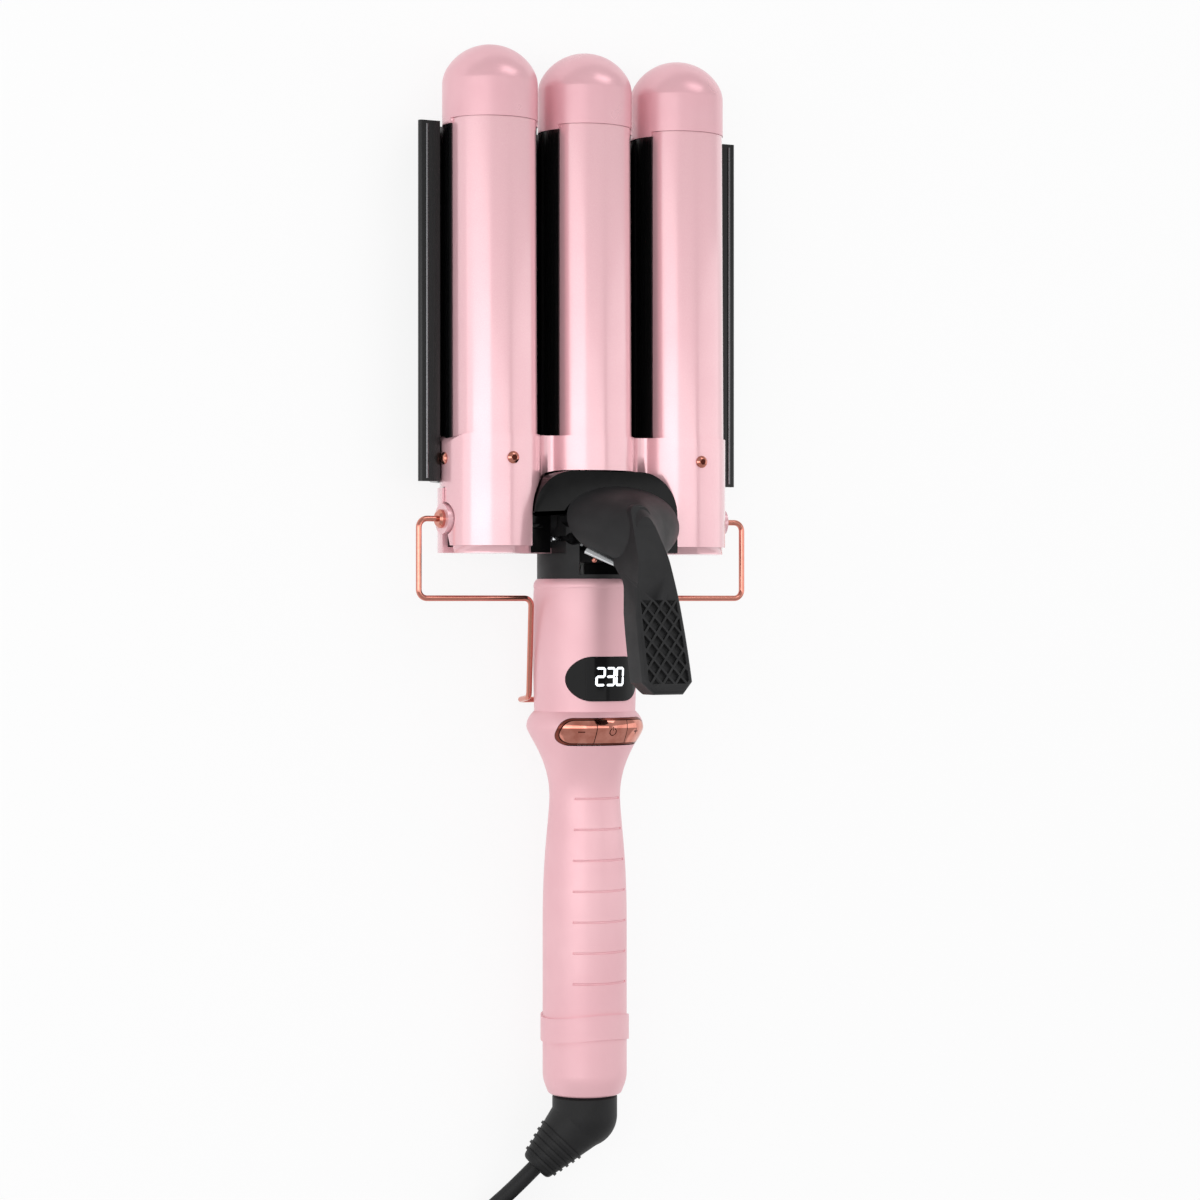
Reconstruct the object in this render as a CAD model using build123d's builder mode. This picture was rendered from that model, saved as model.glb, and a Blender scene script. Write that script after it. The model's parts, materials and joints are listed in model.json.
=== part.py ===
"""Three-barrel hair waver: a sprung jaw of three heated barrels that closes on a troughed plate.

Frame: +Y runs along the tool towards the barrel tips, +Z out of the face with the display,
X across. The origin is on the rest face, straight under the jaw hinge. Sizes are in mm.
"""

import math
import os

from build123d import *

os.makedirs("parts", exist_ok=True)

# ---- Driving dimensions -------------------------------------------------------------------

running_gap = 0.05  # radial clearance of a pin or wire that turns in its hole
seat_gap = 0.1  # clearance of a piece that drops into a pocket
moving_gap = 0.3  # clearance between faces that swing past each other

# Barrels and caps, along Y from the hinge
barrel_radius = 16.0
barrel_wall = 1.6
barrel_pitch = 37.0
barrel_foot = 13.4
barrel_length = 121.0
lip_inner = 63.0  # degrees from the front where a barrel's wall ends beside a neighbour
lip_outer = 82.5  # the same on the outside of the outer barrels
saddle_depth = 11.2  # from the barrel's axis back to the flat that a heater lies on
rib_thickness = 1.4
cap_ring = 1.7
cap_straight = 12.4
cap_dome = 13.9
cap_wall = 1.8
cap_clip = 8.0

# Heaters and what senses them
heater_width = 15.0
heater_thickness = 6.4
heater_length = 92.0
heater_inset = 14.6
lead_radius = 0.9
sensor_radius = 1.2
sensor_length = 9.0
sensor_y = 50.0
fuse_radius = 1.9
fuse_length = 11.0
fuse_y = 88.0

# Front cover: three prongs that flare into a three-lobed shroud
prong_radius = 14.0
prong_wall = 1.6
prong_tuck = 12.0  # degrees that a prong reaches past a lip
shroud_wall = 1.2
shroud_top = 28.9
shroud_foot = -9.1
shroud_edge_round = 1.0
flare_start = 26.0
flare_top = 43.0
flare_sweep = 61.0
valley_radius = 3.5
web_depth = 4.8
end_lip = 2.5
end_lip_inset = 1.0
arch_half_width = 28.5
arch_top = 17.0
arch_corner = 15.0

# Hub and its boss
hub_gap = 0.4
hub_depth = 8.0  # from the tool's axis forward to the back of the hub
hub_thickness = 8.0
hub_round = 6.0
hub_foot = 2.4
boss_half_width = 20.0
boss_half_height = 13.5
boss_middle = -2.1
boss_face = 24.0
boss_round = 3.5
boss_thickness = 4.5

# Barrel holder
holder_radius = 15.1
holder_thickness = 4.0
holder_plug = 12.6

# Rear jaw plate and shell
trough_radius = 18.1
plate_thickness = 2.5
plate_foot = 12.8
plate_length = 122.6
wing_reach = 62.5
wing_depth = 2.0
ridge_depth = 6.5
ridge_round = 1.2
tongue_width = 18.0
tongue_length = 22.0
shell_wall = 2.0
shell_top = 10.6
shell_foot = -11.6
shell_web = 6.6

# Hinge
pin_radius = 2.0
knuckle_radius = 6.0
hinge_ear_radius = 4.5
hinge_ear_thickness = 3.0
tongue_half_width = 13.0
tongue_top = 1.4
bracket_depth = 5.0
bracket_thickness = 1.5
bracket_top = 7.5
bracket_foot = -9.0
bracket_half_length = 52.5
window_half_width = 9.5
window_depth = 6.0
window_foot = -18.8
jaw_opening = 18.0

# Torsion spring on the hinge pin
spring_wire = 1.2
spring_turns = 4.5
spring_half_length = 5.0
spring_pocket_half = 8.0
spring_pocket_radius = 5.2
spring_leg = 12.5

# Neck and handle, radii about the tool's axis
neck_radius = 16.6
neck_bore = 13.0
neck_spigot = 15.7
handle_top = -20.3
handle_wall = 2.2
handle_bore = 15.3
shoulder_radius = 18.1
bulge_top = -66.0
bulge_foot_radius = 17.6
bulge_radius = 20.3
bulge_crest = -71.4
waist_y = -95.6
waist_radius = 12.3
grip_start = -140.0
grip_radius = 14.65
handle_foot = -199.1
ring_radius = 15.4
ring_width = 8.5
ring_middle = -175.4
ring_wave = 1.0
end_cap_floor = 3.5
end_cap_shoulder = -191.6
groove_first = -96.1
groove_spacing = 10.6
groove_count = 7
groove_radius = 0.4
groove_sweep = 45.0

# Display and buttons
lens_middle = -54.7
lens_width = 27.6
lens_height = 15.2
lens_proud = 0.35
button_middle = -72.8
button_bar_width = 32.3
button_bar_height = 7.8
button_split = 5.9  # from the middle to each seam between buttons
button_seam = 0.25
button_travel = 0.8
button_proud = 0.35
button_thickness = 2.6
bezel_gap = 0.2
bezel_wall = 0.65
board_thickness = 1.6
display_board_height = 7.4
display_board_width = 20.0
display_board_length = 40.0
display_board_middle = -56.0
display_post_x = 8.0
display_post_ys = (-40.0, -59.0)
display_post_radius = 1.6
display_module_height = 4.5
switch_size = 4.5
switch_height = 3.4
switch_spacing = 7.6

# Chassis and power board
chassis_radius = 15.1
chassis_wall = 1.6
spine_width = 14.0
spine_thickness = 4.0
spine_foot = -168.0
power_board_width = 18.0
power_board_top = -80.0
power_board_foot = -150.0
relay_middle = -112.0
capacitor_middle = -128.0
terminal_middle = -142.0

# Lever
lever_half_width = 9.5
lever_neck_half_width = 7.2
lever_root_depth = 37.0
lever_bend = -13.6
lever_bend_depth = 48.0
lever_tip = -59.1
lever_tip_depth = 59.4
lever_thickness = 9.4
lever_corner = 4.0
lever_round = 1.5
pad_top = -27.6
pad_bottom = -55.4
pad_depth = 1.3
pad_cell_width = 4.7
pad_cell_height = 5.8
pad_rib = 0.75

# Stand
stand_wire = 2.0
stand_side_run = 3.8  # straight wire between a bush's head and the first bend
stand_drop = 27.0
stand_leg = 21.0
stand_tip_leg = 17.4
stand_bulge_gap = 3.4  # from the bail's far end to the top of the bulge
stand_back = 19.2
stand_bend = 3.0
bush_radius = 2.1
bush_head_radius = 3.2
bush_head = 1.8
bush_seat = 55.4
ear_boss_radius = 5.2

# Screws
screw_radius = 1.1
screw_head_radius = 2.1
screw_head_height = 1.3
cover_screw_y = 20.6
cover_screw_length = 9.0
tongue_screw_ys = (5.0, -4.5)
bracket_screw_x = 11.0
bracket_screw_y = -6.5

# Cord, boot and plug
cord_diameter = 5.6
boot_radius = 11.3
boot_neck_radius = 8.2
boot_flange_radius = 9.8
boot_flange_top = -193.0
boot_flange = 2.5
boot_pivot = -206.6
boot_arm = 25.0
boot_direction = (-0.653, -0.719, -0.238)
boot_tip_radius = 5.7
boot_ribs = 5
boot_rib_pitch = 2.5
boot_rib_height = 0.6
cord_start = -172.0
clamp_top = -174.5
clamp_thickness = 6.0
coil_radius = 32.0
coil_columns = 3
coil_layers = 4
cord_droop = 8.0  # from the boot's tip to where the cord droops, along the arm
cord_landing = 26.0  # from the boot's tip to where the cord reaches the table
cord_joins = 45.0  # from the boot's tip to the coil
tail_run = 14.0
tie_width = 9.0
tie_thickness = 0.9
plug_relief = 20.0
plug_length = 35.0
plug_width = 32.0
plug_thickness = 13.7
plug_pin_radius = 2.0
plug_pin_length = 19.0
plug_pin_spacing = 19.0

# ---- Sizes that follow ----------------------------------------------------------------------

axis_height = bulge_radius  # the bulge and the backs of the troughs both lie on the table
barrel_bore = barrel_radius - barrel_wall
barrel_top = barrel_foot + barrel_length
cap_seam = barrel_top + cap_ring
cap_top = cap_seam + cap_straight + cap_dome
prong_top = cap_seam - seat_gap
shroud_bore = barrel_radius + seat_gap
shroud_radius = shroud_bore + shroud_wall
plate_top = plate_foot + plate_length
ring_top = ring_middle + ring_width / 2
stand_reach = bush_seat + bush_head + stand_side_run + stand_bend
stand_length = -bulge_top - stand_bulge_gap
grip_bore = grip_radius - handle_wall
spigot_bore = grip_bore - handle_wall / 2
board_back = axis_height + display_board_height
board_face = board_back + board_thickness
hub_back = axis_height + hub_depth
cord_radius = cord_diameter / 2
hinge_axis = Axis((0, 0, axis_height), (1, 0, 0))
lobes = [(-barrel_pitch, 0), (0, 0), (barrel_pitch, 0)]
screw_crests = [(-barrel_pitch, cover_screw_y), (barrel_pitch, cover_screw_y)]
tongue_screws = [(0, y) for y in tongue_screw_ys]
wide = 2 * (wing_reach + plate_thickness)  # wider than the whole tool


def section(y, x=0.0):
    """A plane across the tool at y: local x is X, local y is up from the tool's axis."""
    return Plane(origin=(x, y, axis_height), x_dir=(1, 0, 0), z_dir=(0, -1, 0))


def tool_axis(x=0.0):
    return Axis((x, 0, axis_height), (0, 1, 0))


def radial_plane(angle, x=0.0):
    """A half plane through a lobe's axis, at an angle from the front: local x is the radius."""
    turn = math.radians(angle)
    return Plane(
        origin=(x, 0, axis_height),
        x_dir=(math.sin(turn), 0, math.cos(turn)),
        z_dir=(-math.cos(turn), 0, math.sin(turn)),
    )


def save(piece, name):
    piece.part.label = name
    export_step(piece.part, f"parts/{name}.step")


def lip_gap(left, right):
    """The wedge in front of a barrel, between its two lips, as a sketch to cut away."""
    a, b = math.radians(left), math.radians(right)
    reach = 3 * barrel_radius
    with BuildSketch() as gap:
        with BuildLine():
            Polyline(
                (0, 0),
                (-reach * math.sin(a), reach * math.cos(a)),
                (-reach, reach),
                (reach, reach),
                (reach * math.sin(b), reach * math.cos(b)),
                close=True,
            )
        make_face()
    return gap.sketch


def lobed_outline(radius):
    """Three circles joined by webs whose valleys are arcs that run into the circles."""
    middle = barrel_pitch / 2
    centre = math.sqrt((radius + valley_radius) ** 2 - middle**2)
    with BuildSketch() as outline:
        Rectangle(2 * barrel_pitch, 2 * centre * radius / (radius + valley_radius))
        with Locations(*[(x, y) for x in (-middle, middle) for y in (-centre, centre)]):
            Circle(valley_radius, mode=Mode.SUBTRACT)
        with Locations(*lobes):
            Circle(radius)
    return outline.sketch


def arch_outline(gap):
    """The arched opening in the front cover, drawn in by a gap all round."""
    half, top, corner = arch_half_width - gap, arch_top - gap, arch_corner - gap
    foot = shroud_foot - end_lip - 1
    with BuildSketch() as outline:
        with BuildLine():
            FilletPolyline((-half, foot), (-half, top), (half, top), (half, foot), radius=corner)
            Line((half, foot), (-half, foot))
        make_face()
    return outline.sketch


def dome_screw(seat, direction, length):
    """A dome-headed screw whose head sits on seat and whose shank runs back into the work."""
    place = Plane(origin=seat, z_dir=direction)
    side = Plane(origin=seat, x_dir=place.x_dir, z_dir=place.y_dir)
    rise = 0.7 * screw_head_height
    crown = (screw_head_radius**2 + rise**2) / (2 * rise)
    rim = screw_head_height - rise
    with BuildPart() as screw:
        with BuildSketch(side):
            with BuildLine():
                CenterArc((0, crown - screw_head_height), crown, -90, math.degrees(math.asin(screw_head_radius / crown)))
                Polyline((screw_head_radius, -rim), (screw_head_radius, 0), (screw_radius, 0),
                         (screw_radius, length), (0, length), (0, -screw_head_height))
            make_face()
        revolve(axis=Axis(seat, direction))
    return screw.part


# ---- Heated barrels, their caps and heaters ---------------------------------------------------


def barrel(name, x, left, right):
    """An extruded tube, open in front, with a ribbed channel that holds the heater."""
    half = math.sqrt(barrel_bore**2 - saddle_depth**2)
    rib_height = heater_thickness + 1
    rib_x = (heater_width + seat_gap + rib_thickness) / 2
    rib_y = -saddle_depth + rib_height / 2
    with BuildPart() as piece:
        with BuildSketch(section(barrel_top, x)):
            Circle(barrel_radius)
            with BuildLine():
                ThreePointArc((half, -saddle_depth), (0, barrel_bore), (-half, -saddle_depth))
                Line((-half, -saddle_depth), (half, -saddle_depth))
            make_face(mode=Mode.SUBTRACT)
            with Locations((-rib_x, rib_y), (rib_x, rib_y)):
                Rectangle(rib_thickness, rib_height)
            add(lip_gap(left, right), mode=Mode.SUBTRACT)
        extrude(amount=barrel_length)
        if x != 0:
            side = math.copysign(1, x)
            with BuildSketch(Plane.YZ.offset(x + side * barrel_radius)):
                with Locations((cover_screw_y, axis_height)):
                    Circle(screw_radius)
            extrude(amount=2 * barrel_wall, both=True, mode=Mode.SUBTRACT)
    save(piece, name)


def dome_outline(radius, rise, foot):
    """A dome's outline: a knuckle arc up from the rim at foot, then a crown arc to the axis."""
    knuckle = 0.69 * radius
    inset = radius - knuckle
    crown = (rise**2 + inset**2 - knuckle**2) / (2 * (rise - knuckle))
    turn = math.degrees(math.atan2(crown - rise, inset))
    CenterArc((inset, foot), knuckle, 0, turn)
    CenterArc((0, foot + rise - crown), crown, turn, 90 - turn)


def cap(name, x, left, right):
    """A domed tip that plugs into the barrel with two clips."""
    straight_end = cap_seam + cap_straight
    inner = barrel_radius - cap_wall
    clip_outside = barrel_bore - seat_gap
    clip_inside = clip_outside - cap_wall
    clip_low, clip_high = 0.58 * barrel_bore, 0.2 * barrel_bore
    with BuildPart() as piece:
        with BuildSketch(radial_plane(90, x)):
            with BuildLine():
                Line((0, cap_top - 3 * cap_wall), (0, cap_top))
                dome_outline(barrel_radius, cap_dome, straight_end)
                Polyline((barrel_radius, straight_end), (barrel_radius, cap_seam), (clip_inside, cap_seam),
                         (clip_inside, cap_seam + 3), (inner, cap_seam + 3), (inner, straight_end),
                         (0.62 * inner, cap_top - 3 * cap_wall), (0, cap_top - 3 * cap_wall))
            make_face()
        revolve(axis=tool_axis(x))
        with BuildSketch(section(cap_seam, x)):
            Circle(barrel_radius)
            Circle(barrel_bore, mode=Mode.SUBTRACT)
            add(lip_gap(left, right), mode=Mode.SUBTRACT)
        extrude(amount=cap_ring)
        with BuildSketch(section(cap_seam + 3, x)):
            Circle(clip_outside)
            Circle(clip_inside, mode=Mode.SUBTRACT)
            with Locations((0, -(clip_low + clip_high) / 2)):
                Rectangle(3 * barrel_radius, clip_low - clip_high, mode=Mode.INTERSECT)
        extrude(amount=3 + cap_ring + cap_clip)
    save(piece, name)


def heater(name, x):
    """A flat ceramic heater in its wrap, lying on the saddle between the ribs."""
    foot = barrel_foot + heater_inset
    with BuildPart() as piece:
        with BuildSketch(Plane.XY.offset(axis_height - saddle_depth)):
            with Locations((x, foot + heater_length / 2)):
                Rectangle(heater_width, heater_length)
        extrude(amount=heater_thickness)
        fillet(piece.edges().filter_by(Axis.Y), 0.8)
        with BuildSketch(section(foot + 1, x)):
            with Locations((0, -saddle_depth + heater_thickness / 2)):
                with GridLocations(heater_width / 2, 0, 2, 1):
                    Circle(lead_radius)
        extrude(amount=heater_inset)
    save(piece, name)


barrel("barrel_left", -barrel_pitch, lip_outer, lip_inner)
barrel("barrel_centre", 0, lip_inner, lip_inner)
barrel("barrel_right", barrel_pitch, lip_inner, lip_outer)
cap("cap_left", -barrel_pitch, lip_outer, lip_inner)
cap("cap_centre", 0, lip_inner, lip_inner)
cap("cap_right", barrel_pitch, lip_inner, lip_outer)
heater("heater_left", -barrel_pitch)
heater("heater_centre", 0)
heater("heater_right", barrel_pitch)

heater_face = axis_height - saddle_depth + heater_thickness

with BuildPart() as temperature_sensors:
    with BuildSketch(section(sensor_y)):
        with Locations((0, heater_face + sensor_radius - axis_height)):
            with GridLocations(barrel_pitch, 0, 3, 1):
                Circle(sensor_radius)
    extrude(amount=-sensor_length)
save(temperature_sensors, "temperature_sensors")

with BuildPart() as thermal_fuse:
    fuse_end = Plane(origin=(0, fuse_y, heater_face + fuse_radius), z_dir=(0, 1, 0))
    with BuildSketch(fuse_end):
        Circle(fuse_radius)
    extrude(amount=fuse_length)
    with BuildSketch(fuse_end.offset(-fuse_length / 2)):
        Circle(lead_radius / 2)
    extrude(amount=2 * fuse_length)
save(thermal_fuse, "thermal_fuse")


# ---- Front cover: three prongs that flare into the shroud -----------------------------------------

shroud_height = shroud_top - shroud_foot
flare_foot = flare_start - 2
prong_side = min(lip_outer + prong_tuck, 88)
prong_sides = [
    (-barrel_pitch, prong_side, lip_inner + prong_tuck),
    (0, lip_inner + prong_tuck, lip_inner + prong_tuck),
    (barrel_pitch, lip_inner + prong_tuck, prong_side),
]

with BuildPart() as front_cover:
    with BuildSketch(section(shroud_top)):
        add(lobed_outline(shroud_radius))
    extrude(amount=shroud_height)
    fillet(front_cover.faces().sort_by(Axis.Y)[-1].outer_wire().edges(), shroud_edge_round)
    with BuildSketch(section(shroud_foot)):
        add(lobed_outline(shroud_radius - end_lip_inset))
    extrude(amount=end_lip)
    with BuildSketch(section(shroud_top)):
        with Locations(*lobes):
            Circle(shroud_bore)
    extrude(amount=shroud_height, mode=Mode.SUBTRACT)
    # Below the barrels the web is hollow, where the holder, the hinge ears and the bracket lie.
    with BuildSketch(section(barrel_foot)):
        Rectangle(2 * barrel_pitch, 2 * web_depth)
    extrude(amount=barrel_foot - shroud_foot, mode=Mode.SUBTRACT)
    # Flares between the barrels' lips, then the long prongs that reach under them.
    for x, left, right in prong_sides:
        with BuildSketch(radial_plane(-flare_sweep, x)):
            with BuildLine():
                pull = (flare_top - flare_start) * 0.45
                inside = prong_radius - prong_wall
                Polyline((shroud_bore, flare_start), (shroud_bore, flare_foot), (shroud_radius, flare_foot),
                         (shroud_radius, flare_start))
                Bezier((shroud_radius, flare_start), (shroud_radius, flare_start + pull),
                       (prong_radius, flare_top - pull), (prong_radius, flare_top))
                Line((prong_radius, flare_top), (inside, flare_top))
                Bezier((inside, flare_top), (inside, flare_top - pull),
                       (shroud_bore, flare_start + pull), (shroud_bore, flare_start))
            make_face()
        revolve(axis=tool_axis(x), revolution_arc=2 * flare_sweep)
        with BuildSketch(radial_plane(-left, x)):
            with Locations((prong_radius - prong_wall / 2, (flare_top + prong_top) / 2)):
                Rectangle(prong_wall, prong_top - flare_top)
        revolve(axis=tool_axis(x), revolution_arc=left + right)
    # The arch that the hub fills.
    with BuildSketch(Plane.XY.offset(axis_height + moving_gap)):
        add(arch_outline(0))
    extrude(amount=2 * shroud_radius, mode=Mode.SUBTRACT)
    # Behind the split the rear shell takes over, and below the hinge the edge leans forward,
    # so that the jaw can swing.
    split = axis_height + moving_gap
    ledge = shell_top + moving_gap
    low = shroud_foot - end_lip - 1
    with BuildSketch(Plane.YZ):
        with BuildLine():
            Polyline((low, -1), (ledge, -1), (ledge, split), (0, split),
                     (low, split - low * math.tan(math.radians(jaw_opening + 1))), close=True)
        make_face()
    extrude(amount=wide / 2, both=True, mode=Mode.SUBTRACT)
    # Clear of the bosses that hold the stand.
    for side in (-1, 1):
        with BuildSketch(Plane.YZ.offset(side * (bracket_half_length - 4))):
            with Locations((0, axis_height)):
                Circle(ear_boss_radius + 2 * moving_gap)
        extrude(amount=side * 4 * shroud_wall * 2, mode=Mode.SUBTRACT)
    with BuildSketch(Plane.XY.offset(axis_height)):
        with Locations(*screw_crests):
            Circle(screw_radius)
    extrude(amount=2 * shroud_radius, mode=Mode.SUBTRACT)
    with BuildSketch(Plane.YZ):
        with Locations((cover_screw_y, axis_height)):
            Circle(screw_radius)
    extrude(amount=wide / 2, both=True, mode=Mode.SUBTRACT)
save(front_cover, "front_cover")

with BuildPart() as cover_screws:
    for x, y in screw_crests:
        add(dome_screw((x, y, axis_height + shroud_radius), (0, 0, 1), cover_screw_length))
save(cover_screws, "cover_screws")

with BuildPart() as side_screws:
    for side in (-1, 1):
        seat = (side * (barrel_pitch + shroud_radius), cover_screw_y, axis_height)
        add(dome_screw(seat, (side, 0, 0), shroud_wall + 2 * barrel_wall))
save(side_screws, "side_screws")


# ---- Barrel holder: the moulded frame of the moving jaw -------------------------------------------

holder_foot = barrel_foot - holder_thickness

with BuildPart() as barrel_holder:
    with BuildSketch(section(barrel_foot)):
        with Locations(*lobes):
            Circle(holder_radius)
        Rectangle(2 * barrel_pitch, 2 * (web_depth - 0.8))
    extrude(amount=holder_thickness)
    # Half plugs inside the outer barrels carry the cover's screws.
    with BuildSketch(section(barrel_foot + holder_plug)):
        with Locations(lobes[0], lobes[2]):
            Circle(barrel_bore - 2 * seat_gap)
        with Locations((0, barrel_bore / 2 + screw_radius + seat_gap)):
            Rectangle(wide, barrel_bore, mode=Mode.INTERSECT)
    extrude(amount=holder_plug)
    # Slots for the leads.
    with BuildSketch(section(barrel_foot)):
        with Locations(*[(x, -saddle_depth + heater_thickness / 2) for x, y in lobes]):
            SlotOverall(heater_width - 1, 4 * lead_radius)
    extrude(amount=holder_thickness, mode=Mode.SUBTRACT)
    # Two ears straddle the neck's tongue.
    for side in (-1, 1):
        with BuildSketch(Plane.YZ.offset(side * (tongue_half_width + moving_gap))):
            with Locations((0, axis_height)):
                Circle(hinge_ear_radius)
            with Locations(((holder_foot + 1) / 2, axis_height)):
                Rectangle(holder_foot + 1, 2 * hinge_ear_radius)
            with Locations((0, axis_height)):
                Circle(pin_radius + running_gap, mode=Mode.SUBTRACT)
        extrude(amount=side * hinge_ear_thickness)
    with BuildSketch(Plane.XY.offset(hub_back)):
        add(arch_outline(0))
    extrude(amount=2 * shroud_radius, mode=Mode.SUBTRACT)
    with BuildSketch(Plane.XY.offset(axis_height + shroud_radius - cover_screw_length - 1)):
        with Locations(*screw_crests):
            Circle(screw_radius)
    extrude(amount=2 * shroud_radius, mode=Mode.SUBTRACT)
save(barrel_holder, "barrel_holder")


# ---- Hub and lever ----------------------------------------------------------------------------------

boss_back = boss_face - boss_thickness
swing_back = neck_radius + 2 * moving_gap

with BuildPart() as hub:
    with BuildSketch(Plane.XY.offset(hub_back)):
        add(arch_outline(hub_gap))
        with Locations((0, hub_foot - shroud_height)):
            Rectangle(wide, 2 * shroud_height, mode=Mode.SUBTRACT)
    extrude(amount=hub_thickness)
    fillet(hub.faces().sort_by(Axis.Z)[-1].outer_wire().edges().sort_by(Axis.Y)[1:], hub_round)
    with BuildSketch(Plane.XY.offset(hub_back + 2)):
        with Locations((0, boss_middle)):
            Ellipse(boss_half_width, boss_half_height)
    extrude(amount=boss_face - hub_depth - 2)
    fillet(hub.faces().sort_by(Axis.Z)[-1].outer_wire().edges(), boss_round)
    # Clear of the neck, at rest and with the lever pressed.
    with BuildSketch(Plane.YZ):
        with BuildLine():
            far_foot = -3 * boss_half_height
            Polyline((hub_foot, 0), (hub_foot, axis_height + swing_back), (-1.5, axis_height + swing_back),
                     (-1.5, axis_height + boss_back), (far_foot, axis_height + boss_back), (far_foot, 0),
                     close=True)
        make_face()
    extrude(amount=wide / 2, both=True, mode=Mode.SUBTRACT)
    # Hollowed where the neck and the handle's shoulder come up behind it as the jaw opens.
    opened = math.radians(jaw_opening)
    opened_axis = (0, -math.cos(opened), math.sin(opened))
    swept = Plane(origin=(0, 0, axis_height), x_dir=(1, 0, 0), z_dir=opened_axis)
    with BuildSketch(swept.offset(-window_foot - moving_gap)):
        Circle(neck_radius + moving_gap)
    extrude(amount=boss_half_height, mode=Mode.SUBTRACT)
    with BuildSketch(swept.offset(-handle_top - moving_gap)):
        Circle(shoulder_radius + moving_gap)
    extrude(amount=boss_half_height, mode=Mode.SUBTRACT)
save(hub, "hub")

slope = (lever_tip_depth - lever_bend_depth) / (lever_bend - lever_tip)
lever_lean = math.atan(slope)
pad_middle = (pad_top + pad_bottom) / 2
pad_plane = Plane(
    origin=(0, pad_middle, axis_height + lever_bend_depth + slope * (lever_bend - pad_middle)),
    x_dir=(1, 0, 0),
    z_dir=(0, math.sin(lever_lean), math.cos(lever_lean)),
)
pad_length = (pad_top - pad_bottom) / math.cos(lever_lean)

with BuildPart() as lever:
    with BuildSketch(Plane.YZ):
        with BuildLine():
            FilletPolyline(
                (boss_middle + 9.1, axis_height + boss_face),
                (boss_middle + 7.6, axis_height + lever_root_depth),
                (lever_bend, axis_height + lever_bend_depth),
                (lever_tip, axis_height + lever_tip_depth),
                (lever_tip, axis_height + lever_tip_depth - lever_thickness),
                (lever_bend - 8.4, axis_height + lever_bend_depth - 7.5),
                (lever_bend - 2.9, axis_height + boss_face + 9),
                (boss_middle - 9.9, axis_height + boss_face),
                radius=(0, 5, 14, 0, 1.2, 6, 7, 0),
                close=True,
            )
        make_face()
    extrude(amount=lever_half_width, both=True)
    with BuildSketch(Plane.XY):
        with BuildLine():
            corner_y, corner_x = lever_tip + lever_corner, lever_half_width - lever_corner
            Bezier((-lever_neck_half_width, boss_half_height), (-lever_neck_half_width, pad_top),
                   (-lever_half_width, pad_top), (-lever_half_width, corner_y))
            Polyline((-lever_half_width, corner_y), (-corner_x, lever_tip), (corner_x, lever_tip),
                     (lever_half_width, corner_y))
            Bezier((lever_half_width, corner_y), (lever_half_width, pad_top),
                   (lever_neck_half_width, pad_top), (lever_neck_half_width, boss_half_height))
            Line((lever_neck_half_width, boss_half_height), (-lever_neck_half_width, boss_half_height))
        make_face()
    extrude(amount=2 * lever_tip_depth, mode=Mode.INTERSECT)
    front = [e for f in lever.faces() if f.normal_at().Z > 0.3 for e in f.edges()]
    outline = [e for e in front if e.center().Z > axis_height + lever_root_depth + 4
               and sum((e.center() - o.center()).length < 0.01 for o in front) == 1]
    fillet(outline, lever_round)
    # The grip pad: thin crossing ribs over sunken diamonds.
    with BuildSketch(pad_plane):
        with BuildLine():
            top_half, foot_half = lever_neck_half_width - 0.2, lever_half_width - 1.7
            Polyline((-foot_half, -pad_length / 2), (foot_half, -pad_length / 2), (top_half, pad_length / 2),
                     (-top_half, pad_length / 2), close=True)
        make_face()
        rib_angle = math.degrees(math.atan2(pad_cell_height, pad_cell_width))
        rib_step = pad_cell_width * math.sin(math.radians(rib_angle))
        for turn in (rib_angle, -rib_angle):
            with Locations(Location((0, 0), turn)):
                with GridLocations(0, rib_step, 1, 11):
                    Rectangle(3 * pad_length, pad_rib, mode=Mode.SUBTRACT)
    extrude(amount=-pad_depth, mode=Mode.SUBTRACT)
save(lever, "lever")


# ---- Neck, hinge pin and spring -----------------------------------------------------------------------

lead_slot = Plane.XZ.offset(-shell_foot)
lead_slot_z = axis_height - 9.5

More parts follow.
